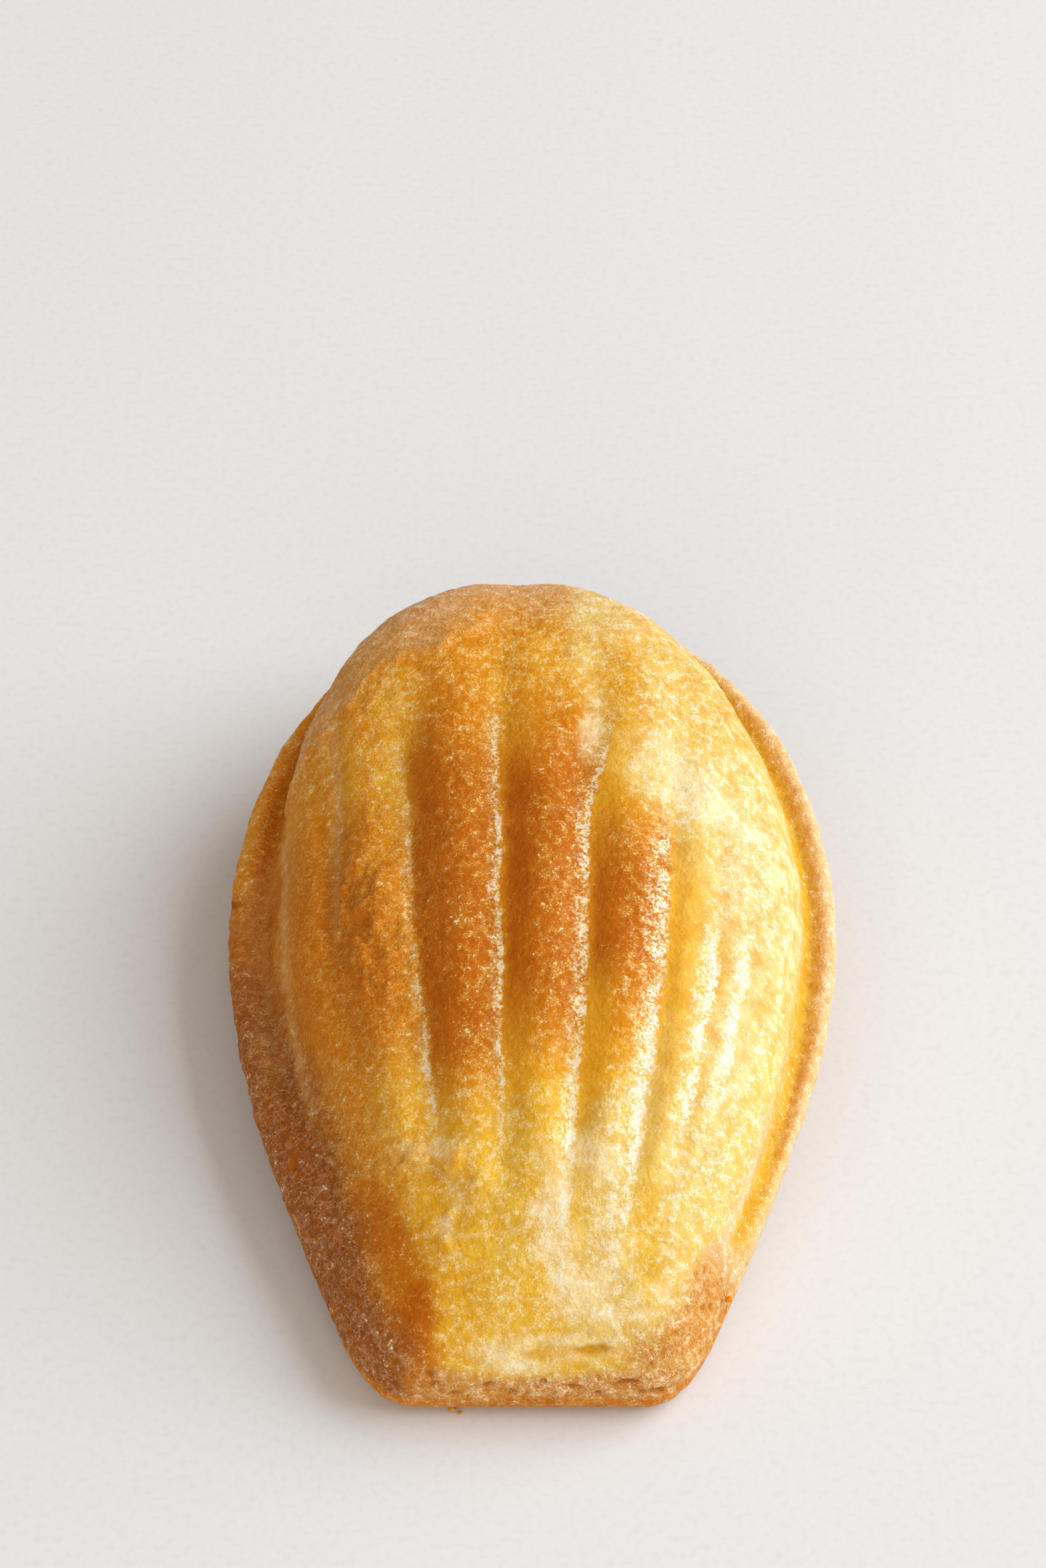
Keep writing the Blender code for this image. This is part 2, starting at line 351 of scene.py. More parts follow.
# The patch at x -20.6 lies in the left rim groove and is painted shade there.
AMBER = [
    Patch(-11.4, -27.5, 1.8, 5.0, 0.8, 20.0),
    Patch(-9.0, -34.0, 2.1, 3.2, 1.0, 20.0),
    Patch(-13.5, -4.0, 3.2, 12.0, 0.75, 8.0),
    Patch(-20.6, 2.5, 1.3, 6.0, 1.0, -6.0),
    Patch(-7.2, 15.0, 1.2, 4.5, 0.3),
    Patch(-19.2, -4.5, 0.7, 4.5, 0.8, 12.0),
]
LESS_LIGHT_NOSE = Patch(8.6, -29.0, 1.2, 5.0, 0.8)
LESS_LIGHT_BACK = Patch(7.2, 16.0, 1.7, 8.0, 0.9)

# Patches in x and y + z, at the nose: torn pale crumb, the hollow in it and slots in the wall.
TORN = [Patch(0.9, -29.7, 5.2, 1.4, 0.8, 3.0), Patch(-1.0, -30.8, 2.6, 1.4)]
HOLLOW = [Patch(4.2, -29.9, 1.2, 0.60, 1.0, 6.0), Patch(1.5, -30.1, 2.4, 0.95, 0.6, 3.0)]
SLOTS = [
    Patch(6.9, -33.4, 0.9, 0.30, 1.0, 6.0),
    Patch(9.2, -34.4, 0.5, 0.28),
    Patch(4.9, -34.6, 0.35, 0.24),
    Patch(3.1, -33.9, 0.5, 0.26, 1.0, -15.0),
    Patch(0.8, -33.3, 0.35, 0.26),
    Patch(-1.4, -34.4, 0.3, 0.24),
    Patch(-3.2, -33.6, 0.45, 0.26, 1.0, 10.0),
    Patch(-5.6, -34.6, 0.4, 0.25),
    Patch(-7.4, -33.7, 0.3, 0.24),
]


class Plan:
    """The cake's outline seen from above, in millimetres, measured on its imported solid.

    Attributes:
        SPREAD: How much the fan of grooves widens with each millimetre behind the belly.
        levels: The y levels at which the outline is measured.
        left, right: The outline's two x at each level.
        tree: Points of the outline, for finding the nearest one.
    """

    SPREAD = 0.3

    def __init__(self, mesh: bpy.types.Mesh) -> None:
        """Measures the outline.

        Args:
            mesh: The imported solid's mesh, in metres.
        """
        corners = np.array([v.co for v in mesh.vertices]) / MM
        ends = np.array([edge.vertices[:] for edge in mesh.edges])
        first, second = corners[ends[:, 0]], corners[ends[:, 1]]
        low, high = corners[:, 1].min(), corners[:, 1].max()
        self.levels = np.linspace(low + 0.02, high - 0.02, 300)
        reach = [self._reach(first, second, level) for level in self.levels]
        self.left, self.right = np.array(reach).T
        outline = np.vstack([
            np.column_stack([self.right, self.levels]),
            np.column_stack([self.left, self.levels]),
            self._across(low, self.left[0], self.right[0]),
            self._across(high, self.left[-1], self.right[-1]),
        ])
        self.tree = kdtree.KDTree(len(outline))
        for index, (x, y) in enumerate(outline):
            self.tree.insert((x, y, 0.0), index)
        self.tree.balance()

    @staticmethod
    def _reach(first: Array, second: Array, level: float) -> tuple[float, float]:
        """Finds where the mesh's edges cross a y level.

        Args:
            first, second: The two ends of each edge, one row each, in millimetres.
            level: The y level.

        Returns:
            The leftmost and the rightmost x.
        """
        crosses = (first[:, 1] - level) * (second[:, 1] - level) <= 0.0
        a, b = first[crosses], second[crosses]
        span = b[:, 1] - a[:, 1]
        share = np.where(np.abs(span) < 1e-9, 0.0, (level - a[:, 1]) / np.where(span == 0, 1, span))
        x = a[:, 0] + (b[:, 0] - a[:, 0]) * share
        return float(x.min()), float(x.max())

    @staticmethod
    def _across(y: float, left: float, right: float) -> Array:
        """Points on the straight end of the outline at y."""
        x = np.linspace(left, right, 60)
        return np.column_stack([x, np.full(len(x), y)])

    def share(self, x: Array, y: Array) -> Array:
        """Place across the cake, counted in half widths from its middle.

        Args:
            x, y: Places in plan, in millimetres.

        Returns:
            One share for each place: -1 on the left outline and 1 on the right one.
        """
        held = np.minimum(y, BELLY_Y)
        right = np.interp(held, self.levels, self.right)
        left = np.interp(held, self.levels, self.left)
        half = (right - left) / 2.0 + self.SPREAD * np.maximum(y - BELLY_Y, 0.0)
        return (x - (right + left) / 2.0) / half

    def half(self, y: Array) -> Array:
        """Half the cake's width.

        Args:
            y: Where it is wanted, in millimetres.

        Returns:
            Half the width at each y, in millimetres.
        """
        right = np.interp(y, self.levels, self.right)
        left = np.interp(y, self.levels, self.left)
        return (right - left) / 2.0

    def inset(self, points: Array) -> Array:
        """Distance in plan from each point to the outline, in millimetres."""
        return np.array([self.tree.find((x, y, 0.0))[2] for x, y, _ in points.tolist()])


# ---------------------------------------------------------------- the cake's shape


@dataclass
class Cake:
    """The cake's visible mesh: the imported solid, remade fine enough for crust and crumb.

    Heights, depths and widths are in millimetres.

    Attributes:
        voxel: Size of the remade faces, in metres.
        smoothing_rounds: How often the remade faces are smoothed.
        underside_normal: A face whose normal's z is below this looks down at the table.
        underside_keep: The share of the underside's faces that stays.
        groove_half_width: Half the width of a cut groove.
        swell, small_swell: Height of the broad and of the smaller unevenness.
        waist_depth: How far the side wall draws in.
        peel_step: Thickness of the skin that has peeled.
        curl_height: How far the skin's torn edge curls up.
        flake_height, rough_height, tear_height: Heights of flakes, rough crumb and torn crumb.
        hollow_depth, chip_depth, slot_depth: Depths of the hollow, the chip and the slots.
        pore_depth, fine_pore_depth: Depths of the two sizes of pore.
        name: The piece's name.
        points, normals: The vertices, in millimetres, and their normals.
        plan: The outline that places are told by.
        marks: Where each vertex lies and how strongly each feature marks it, by name.
    """

    voxel: float = 0.272 * MM
    smoothing_rounds: int = 7
    underside_normal: float = -0.35
    underside_keep: float = 0.22
    groove_half_width: float = 0.6
    swell: float = 0.28
    small_swell: float = 0.16
    waist_depth: float = 0.5
    peel_step: float = 0.16
    curl_height: float = 0.22
    flake_height: float = 0.48
    rough_height: float = 0.32
    tear_height: float = 0.18
    hollow_depth: float = 0.6
    chip_depth: float = 0.7
    pore_depth: float = 0.30
    fine_pore_depth: float = 0.16
    slot_depth: float = 0.45
    name: str = "cake"
    points: Array = field(init=False)
    normals: Array = field(init=False)
    plan: Plan = field(init=False)
    marks: dict[str, Array] = field(default_factory=dict)

    def build(self, node: bpy.types.Object) -> bpy.types.Object:
        """Shapes the cake.

        Args:
            node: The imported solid, which stays as it is.

        Returns:
            The finished piece, with its zones stored as attributes.
        """
        self.plan = Plan(node.data)
        piece = self._fine_copy(node)
        self._measure(piece)
        self._mark_places()
        self._move(piece, self._rib_relief() + self._unevenness())
        height = self._peeled_skin() + self._flakes() + self._torn_nose() - self._chip()
        self._mark_sides()
        self._move(piece, height + self._pits() + self._crumb_relief())
        self._store_zones(piece)
        return piece

    def _fine_copy(self, node: bpy.types.Object) -> bpy.types.Object:
        """Remakes a merged copy of the node with small even faces and smooths it.

        Args:
            node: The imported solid.

        Returns:
            The new object.
        """
        piece = node.copy()
        piece.data = node.data.copy()
        piece.name = piece.data.name = self.name
        piece.parent = None
        for key in list(piece.keys()):
            del piece[key]
        bpy.context.scene.collection.objects.link(piece)
        make_active(piece)
        bpy.ops.object.mode_set(mode="EDIT")
        bpy.ops.mesh.select_all(action="SELECT")
        bpy.ops.mesh.remove_doubles(threshold=0.001 * MM)
        bpy.ops.object.mode_set(mode="OBJECT")
        remesh = piece.modifiers.new("even faces", "REMESH")
        remesh.mode = "VOXEL"
        remesh.voxel_size = self.voxel
        remesh.use_smooth_shade = True
        bpy.ops.object.modifier_apply(modifier=remesh.name)
        smooth = piece.modifiers.new("soft facets", "SMOOTH")
        smooth.factor = 0.5
        smooth.iterations = self.smoothing_rounds
        bpy.ops.object.modifier_apply(modifier=smooth.name)
        self._thin_underside(piece)
        return piece

    def _thin_underside(self, piece: bpy.types.Object) -> None:
        """Merges most faces that look down at the table, which need no fine relief.

        Args:
            piece: The remade copy, which is the active object.
        """
        bpy.ops.object.mode_set(mode="EDIT")
        bpy.ops.mesh.select_mode(type="FACE")
        bpy.ops.mesh.select_all(action="DESELECT")
        bpy.ops.object.mode_set(mode="OBJECT")
        for face in piece.data.polygons:
            face.select = face.normal.z < self.underside_normal
        bpy.ops.object.mode_set(mode="EDIT")
        bpy.ops.mesh.decimate(ratio=self.underside_keep)
        bpy.ops.object.mode_set(mode="OBJECT")

    def _measure(self, piece: bpy.types.Object) -> None:
        """Reads the vertices, in millimetres, and their normals.

        Args:
            piece: The cake's object.
        """
        count = len(piece.data.vertices)
        flat = np.empty(count * 3, np.float32)
        piece.data.vertices.foreach_get("co", flat)
        self.points = flat.reshape(-1, 3).astype(float) / MM
        piece.data.vertex_normals.foreach_get("vector", flat)
        self.normals = flat.reshape(-1, 3).astype(float)

    def _move(self, piece: bpy.types.Object, height: Array) -> None:
        """Moves each vertex out along its normal, but never below the table.

        Args:
            piece: The cake's object.
            height: How far each vertex moves, in millimetres.
        """
        moved = self.points + self.normals * height[:, None]
        moved[:, 2] = np.maximum(moved[:, 2], 0.0)
        piece.data.vertices.foreach_set("co", (moved * MM).astype(np.float32).ravel())
        piece.data.update()
        self._measure(piece)

    def _mark_places(self) -> None:
        """Works out where each vertex lies, for the relief and the colours to use."""
        x, y, z = self.points.T
        wander = smooth_noise(self.points, 5.0, Lumps.WANDER)
        fray = smooth_noise(self.points, 1.3, Lumps.FRAY)
        marks = self.marks
        marks["up"] = smoothstep(-0.15, 0.35, self.normals[:, 2])
        marks["inset"] = self.plan.inset(self.points)
        marks["share"] = self.plan.share(x + 0.25 * wander, y)
        rise = math.tan(math.radians(RIM_TILT_DEG))
        marks["rim_height"] = z - NOSE_RIM_Z - (y - NOSE_Y) * rise
        marks["wander"], marks["fray"] = wander, fray
        marks["frayed_x"] = x + 1.1 * wander + 0.5 * fray
        marks["frayed_y"] = y + 1.1 * smooth_noise(self.points, 5.0, Lumps.WANDER_Y) + 0.5 * fray
        dome = smoothstep(2.4, 3.4, marks["inset"]) * smoothstep(0.4, 1.6, marks["rim_height"])
        marks["dome"] = np.maximum(dome, smoothstep(5.0, 6.0, marks["inset"])) * marks["up"]

    def _rib_relief(self) -> Array:
        """Narrow valleys between the ribs, with what lies along them.

        Also marks the gleam (a painted highlight line on paler wet crumb), its distance line, the
        haze (a painted pale sheen), the bare crust (partly painted shade) and the toast.

        Returns:
            The relief, in millimetres.
        """
        x, y, _ = self.points.T
        marks = self.marks
        relief, gleam, haze, bare, toast = np.zeros((5, len(y)))
        line = np.full(len(y), LINE_LIMIT)
        patchy = np.clip(0.80 + 1.5 * smooth_noise(self.points, 2.3, Lumps.GLEAM), 0.12, 1.4)
        half = self.plan.half(np.minimum(y, BELLY_Y))
        places = [FIRST_RIB_START, *(groove.place(y) for groove in GROOVES), LAST_RIB_END]
        for groove, before, start, end in zip(GROOVES, places, places[1:], places[2:]):
            reach = groove.reach(y)
            across = (marks["share"] - start) * half
            relief -= groove.depth * hump(0.0, self.groove_half_width, across) * reach
            # A painted highlight line on paler wet crumb along this groove.
            if groove.gleam > 0.0:
                left = np.clip((start - before) * half - 1.0, 0.6, 1.7)
                near = smoothstep(1.0, 0.7, np.maximum(-across / left, across / 0.8)) * reach
                line = np.where(near > 0.0, across / groove.width, line)
                gleam = np.maximum(gleam, groove.gleam * near * patchy)
            else:
                # A dry groove gets a painted pale sheen along it instead.
                haze = np.maximum(haze, hump(-0.2, groove.width, across) * reach)
            phase = (marks["share"] + 0.012 * marks["fray"] - start) / (end - start)
            bare = np.maximum(bare, groove.bare(phase, y) * reach)
            if groove.toast is not None:
                toast = np.maximum(toast, self._toast(phase, *groove.toast))
        along = smoothstep(9.0, 14.0, y) * smoothstep(28.0, 20.0, y)
        relief -= sum(tail.cut(x, y) for tail in TAILS) * along
        marks["line"] = 0.5 + 0.5 * np.clip(line / LINE_LIMIT, -1.0, 1.0)
        for name, mark in (("gleam", gleam), ("haze", haze), ("bare", bare), ("toast", toast)):
            marks[name] = mark * marks["dome"]
        return relief * marks["dome"]

    def _toast(self, phase: Array, back: float, front: float, strength: float) -> Array:
        """Browning of one rib: darkest by the groove on its left, fading to the next one.

        Args:
            phase: How far across the rib each point lies: 0 at its left groove, 1 at its right.
            back, front: Where the browning ends, as y in millimetres.
            strength: How brown the rib gets.

        Returns:
            How brown each point is.
        """
        y = self.marks["frayed_y"]
        across = smoothstep(-0.05, 0.15, phase) * smoothstep(2.4, 0.4, phase)
        across *= smoothstep(1.08, 0.97, phase)
        along = smoothstep(back + 6.0, back - 7.0, y) * smoothstep(front - 6.0, front + 5.0, y)
        return strength * across * along

    def _unevenness(self) -> Array:
        """Broad dents and swells of a hand-filled tray, and the side wall's waist.

        Returns:
            The relief, in millimetres.
        """
        broad = smooth_noise(self.points, 9.0, Lumps.BROAD) * self.swell
        middle = smooth_noise(self.points, 3.2, Lumps.MIDDLE) * self.small_swell
        waist = hump(-12.0, 9.0, self.points[:, 1]) * (1.0 - self.marks["up"])
        return (broad + middle) * self.marks["up"] - self.waist_depth * waist

    def _peeled_skin(self) -> Array:
        """The step and the curled edge where the thin skin has peeled; marks the skin left.

        Returns:
            The relief, in millimetres.
        """
        x, y, _ = self.points.T
        marks = self.marks
        ragged = 1.1 * marks["fray"] + 0.6 * smooth_noise(self.points, 2.6, Lumps.RAGGED)
        above = y + ragged - SKIN_EDGE.at(x)
        torn_side = smoothstep(-2.0, -5.0, x)
        skin = np.interp(x, [-8.0, -2.0], [1.0, 0.0]) * smoothstep(-0.4, 1.1, above)
        far_skin = smoothstep(-4.5, 6.0, marks["frayed_y"] - FAR_SKIN_EDGE.at(marks["frayed_x"]))
        marks["skin"] = np.maximum(skin, far_skin) * marks["dome"]
        marks["curl"] = hump(0.0, 0.32, above) * torn_side * marks["dome"]
        step = self.peel_step * smoothstep(-0.3, 0.3, above) * torn_side
        return (step + self.curl_height * marks["curl"]) * marks["dome"]

    def _flakes(self) -> Array:
        """Raised flakes and rough crumb on the left flank; marks both.

        Returns:
            The relief, in millimetres.
        """
        marks = self.marks
        frayed_x, frayed_y = marks["frayed_x"], marks["frayed_y"]
        broken = smoothstep(0.05, 0.22, smooth_noise(self.points, 1.5, Lumps.FLAKES))
        marks["flakes"] = patches_weight(FLAKES, frayed_x, frayed_y) * broken
        marks["rough"] = patches_weight(ROUGH, frayed_x, frayed_y)
        bumps = np.abs(smooth_noise(self.points, 1.0, Lumps.ROUGH))
        height = self.flake_height * marks["flakes"] + self.rough_height * marks["rough"] * bumps
        return height * marks["dome"]

    def _torn_nose(self) -> Array:
        """The torn crumb and the hollow at the brink of the nose; marks both.

        Returns:
            The relief, in millimetres.
        """
        x, y, z = self.points.T
        marks = self.marks
        brink = y + z + 0.3 * marks["fray"]
        ruffle = 0.35 * smooth_noise(self.points, 0.9, Lumps.RUFFLE)
        marks["torn"] = patches_weight(TORN, marks["frayed_x"], brink) * smoothstep(-31.0, -34.0, y)
        marks["hollow"] = patches_weight(HOLLOW, x + 0.6 * marks["fray"], brink + ruffle)
        marks["hollow"] *= smoothstep(-32.0, -34.0, y)
        tear = self.tear_height * marks["torn"] * smooth_noise(self.points, 1.1, Lumps.TORN)
        return tear - self.hollow_depth * marks["hollow"]

    def _chip(self) -> Array:
        """Depth of the chip in the left rim."""
        x, y, _ = self.points.T
        return self.chip_depth * CHIP.weight(x, y) * self.marks["up"]

    def _mark_sides(self) -> None:
        """Marks the side wall, the lip, the front wall, its right corner and the hem."""
        marks = self.marks
        x, y, z = self.points.T
        left = smoothstep(1.0, -4.0, x)
        side = (1.0 - marks["up"]) * smoothstep(-36.4, -34.5, y)
        fold = WALL_WIDTH.at(y) + 0.35 * marks["wander"] + 0.45 * marks["fray"]
        wall = smoothstep(1.5, -1.3, marks["inset"] - fold) * smoothstep(12.0, -8.0, y)
        wall *= smoothstep(-7.4, -9.8, x + 0.8 * marks["fray"])
        # The side takes the wall's dark brown on the left and the lip's pale colour on the right:
        # partly real browned crust, partly painted shade and light for the sides away from and
        # towards the window.
        marks["wall"] = np.maximum(wall, side * left)
        rim = 1.9 + 0.35 * marks["wander"] + 0.35 * marks["fray"]
        lip = smoothstep(0.6, -0.6, marks["inset"] - rim) * smoothstep(-33.5, -31.0, y)
        marks["lip"] = np.maximum(lip, side) * (1.0 - left)
        brow = -32.4 + 1.3 * np.clip(x / 9.5, -1.2, 1.2) ** 2
        drop = y + z - brow + 0.5 * marks["wander"] + 0.5 * marks["fray"]
        marks["front"] = smoothstep(0.6, -1.1, drop) * smoothstep(-33.0, -35.5, y)
        marks["front"] *= smoothstep(-10.5, -8.0, x)
        marks["corner"] = smoothstep(-25.5, -30.0, y) * (1.0 - left) * (1.0 - marks["front"])
        marks["corner"] *= smoothstep(3.2, 1.2, marks["inset"] + 0.4 * marks["fray"])
        marks["corner"] *= smoothstep(5.5, 8.5, x)
        marks["hem"] = smoothstep(3.1, 2.1, z + 0.35 * marks["fray"]) * smoothstep(-28.0, -34.5, y)

    def _pits(self) -> Array:
        """Open pores and the nose's slots: many on the wall and the front, few on the dome.

        Returns:
            The relief, in millimetres.
        """
        marks = self.marks
        x, y, z = self.points.T
        near, lot = pit_noise(self.points, 1.15, Pits.LARGE)
        small, small_lot = pit_noise(self.points, 0.66, Pits.FINE)
        slots = patches_weight(SLOTS, x + 0.4 * marks["fray"], y + z + 0.25 * marks["fray"])
        slots *= smoothstep(-34.0, -36.0, y)
        open_places = np.max([0.9 * marks["wall"], 0.8 * marks["front"], 0.8 * marks["corner"],
                              0.5 * marks["flakes"], 0.3 * marks["lip"]], axis=0)
        openness = (0.05 + 0.60 * open_places) * (1.0 - marks["torn"]) * (1.0 - marks["hollow"])
        large = smoothstep(0.46, 0.16, near) * (lot < 0.45 * openness)
        fine = smoothstep(0.50, 0.20, small) * (small_lot < openness)
        facing = smoothstep(-0.5, 0.1, self.normals[:, 2])
        pore = np.maximum(large, 0.8 * fine) * np.clip(1.5 * openness, 0.0, 1.0) * facing
        marks["pore"] = np.maximum(pore, slots)
        depth = self.pore_depth * large + self.fine_pore_depth * fine
        return -depth * pore - self.slot_depth * slots

    def _crumb_relief(self) -> Array:
        """The crust's fine grain.

        Returns:
            The relief, in millimetres.
        """
        grain = smooth_noise(self.points, 0.85, Lumps.GRAIN) * 0.06
        grain += smooth_noise(self.points, 0.5, Lumps.FINE_GRAIN) * 0.04
        return grain * (0.4 + 0.6 * self.marks["up"])

    def _light_side(self) -> Array:
        """The pale right side, a little less pale in golden spots, and on the bare crust as painted
        shade.

        Returns:
            How light each point is, from 0 to 1.
        """
        marks = self.marks
        x, y, _ = self.points.T
        frayed_x, frayed_y = marks["frayed_x"], marks["frayed_y"]
        light = smoothstep(-1.8, 1.8, frayed_x - LIGHT_EDGE.at(y))
        light *= smoothstep(1.2, 2.2, marks["inset"])
        light *= 1.0 - 0.2 * smoothstep(12.0, 16.0, x) * smoothstep(-14.0, -6.0, y)
        light *= 1.0 - 0.3 * smoothstep(13.0, 18.0, y)
        light *= 1.0 - LESS_LIGHT_NOSE.weight(x, y)
        light *= 1.0 - LESS_LIGHT_BACK.weight(frayed_x, frayed_y)
        # Painted shade: less pale on the bare slopes right of the grooves, which face away from the
        # window.
        bare_middle = smoothstep(2.0, -2.0, y) * smoothstep(-24.0, -10.0, y)
        return light * (1.0 - 0.70 * marks["bare"] * bare_middle)

    def _golden(self) -> Array:
        """The golden nose and the golden patches on the dome.

        Returns:
            How golden each point is, from 0 to 1.
        """
        marks = self.marks
        x, y, _ = self.points.T
        frayed_x, frayed_y = marks["frayed_x"], marks["frayed_y"]
        nose = smoothstep(-1.6, 1.6, frayed_x - GOLD_EDGE.at(y)) * marks["up"]
        nose *= smoothstep(-12.0, -18.0, frayed_y + 2.2 * hump(-5.2, 1.8, x))
        return np.maximum(nose, patches_weight(GOLDEN, frayed_x, frayed_y) * marks["dome"])

    def _trench(self) -> Array:
        """The sunken strip between the rim and the foot of the dome.

        Returns:
            How far each point lies in the strip, from 0 to 1.
        """
        marks = self.marks
        y = self.points[:, 1]
        strip = TRENCH_INSET.at(y)
        trench = hump(0.0, 0.45 + 0.25 * strip, marks["inset"] - strip) * marks["up"]
        return trench * smoothstep(3.0, 1.4, marks["rim_height"]) * smoothstep(-28.0, -24.0, y)

    def _lacy(self) -> Array:
        """Where the crumb is so open that its cells show.

        Returns:
            How open the crumb is at each point, from 0 to 1.
        """
        marks = self.marks
        left_flank = 0.8 * smoothstep(-8.0, -14.0, marks["frayed_x"])
        return np.max([marks["wall"], 0.9 * marks["front"], marks["corner"],
                       0.6 * marks["lip"], marks["rough"], 0.8 * marks["curl"],
                       0.8 * marks["skin"], left_flank], axis=0)

    def _store_zones(self, piece: bpy.types.Object) -> None:
        """Stores the zones that the crust's colours follow as attributes of the mesh.

        Args:
            piece: The cake's object.
        """
        marks = self.marks
        frayed_x, frayed_y = marks["frayed_x"], marks["frayed_y"]
        x, y, _ = self.points.T
        right = smoothstep(0.0, 6.0, x)
        trench = self._trench()
        # The trench is one strip round the dome: its left side is painted darker as shade, its
        # right side as a glow.
        left_trench = trench * (1.0 - right)
        # Painted light: a paler colour in the shaded left trench, lifting its shade.
        painted_trench_light = 0.45 * left_trench * smoothstep(-15.0, -6.0, y) * smoothstep(13.0, 7.0, y)
        left_flank = 0.55 * smoothstep(-8.0, -13.0, frayed_x) * smoothstep(12.0, 3.0, frayed_y)
        left_flank *= 1.0 - 0.6 * smoothstep(-8.0, -15.0, frayed_y)
        below = smoothstep(0.15, -0.35, self.normals[:, 2])
        amber_patches = patches_weight(AMBER, frayed_x, frayed_y)
        straw = smoothstep(-16.0, -23.0, frayed_y) * smoothstep(-7.5, -2.0, frayed_x)
        zones = {
            "line": marks["line"],
            "gleam": marks["gleam"],
            "lacy": self._lacy(),
            "bare": marks["bare"],
            "gold": self._golden(),
            # valley: painted shade, a deeper saturated colour on the slopes right of the grooves.
            "valley": marks["bare"] * smoothstep(-6.0, 1.0, x),
            "straw": straw * marks["up"],
            # amber: browner crust, and painted shade in the left trench.
            "amber": np.max([amber_patches, 0.9 * left_trench, left_flank], axis=0),
            "toast": marks["toast"],
            "skin": marks["skin"],
            "far skin": marks["skin"] * smoothstep(22.0, 31.0, y),
            "light": self._light_side(),
            # Pale cream crumb, with painted sheen and highlight patches.
            "cream and sheen": patches_weight(CREAM_AND_SHEEN, frayed_x, frayed_y) * marks["dome"],
            "wall": np.maximum(marks["wall"], 0.5 * marks["front"] * smoothstep(-1.0, -8.0, x)),
            "lip": marks["lip"] * (1.0 - np.clip(trench, 0.0, 1.0)),
            "corner": marks["corner"],
            "front": marks["front"] * (1.0 - 0.5 * smoothstep(-1.0, -7.0, x)),
            "torn": marks["torn"] * (1.0 - marks["hollow"]),
            "base": below * smoothstep(-8.0, -2.0, x + 0.3 * y),
            # glow: the right trench painted as a warm, lit glow.
            "glow": trench * right,
            "hem": marks["hem"],
            # hollow: painted shade, a deeper yellow in the hollow of the torn crumb.
            "hollow": marks["hollow"],
            # haze: painted pale sheen along the dry grooves and painted light in the left trench,
            # with the real pale curled edge of the torn skin.
            "haze": np.max([0.7 * marks["haze"], 0.5 * marks["curl"], painted_trench_light], axis=0),
            # pore: darker colour in the pits and slots, partly the crumb's own and partly painted
            # shade.
            "pore": marks["pore"],
        }
        for name, value in zones.items():
            layer = piece.data.attributes.new(name, "FLOAT", "POINT")
            layer.data.foreach_set("value", np.clip(value, 0.0, 1.0).astype(np.float32))


# ---------------------------------------------------------------- finishes


class Socket(Enum):
    """Kinds of socket that a node group may have."""

    NUMBER = "NodeSocketFloat"
    COLOUR = "NodeSocketColor"
    PLACE = "NodeSocketVector"


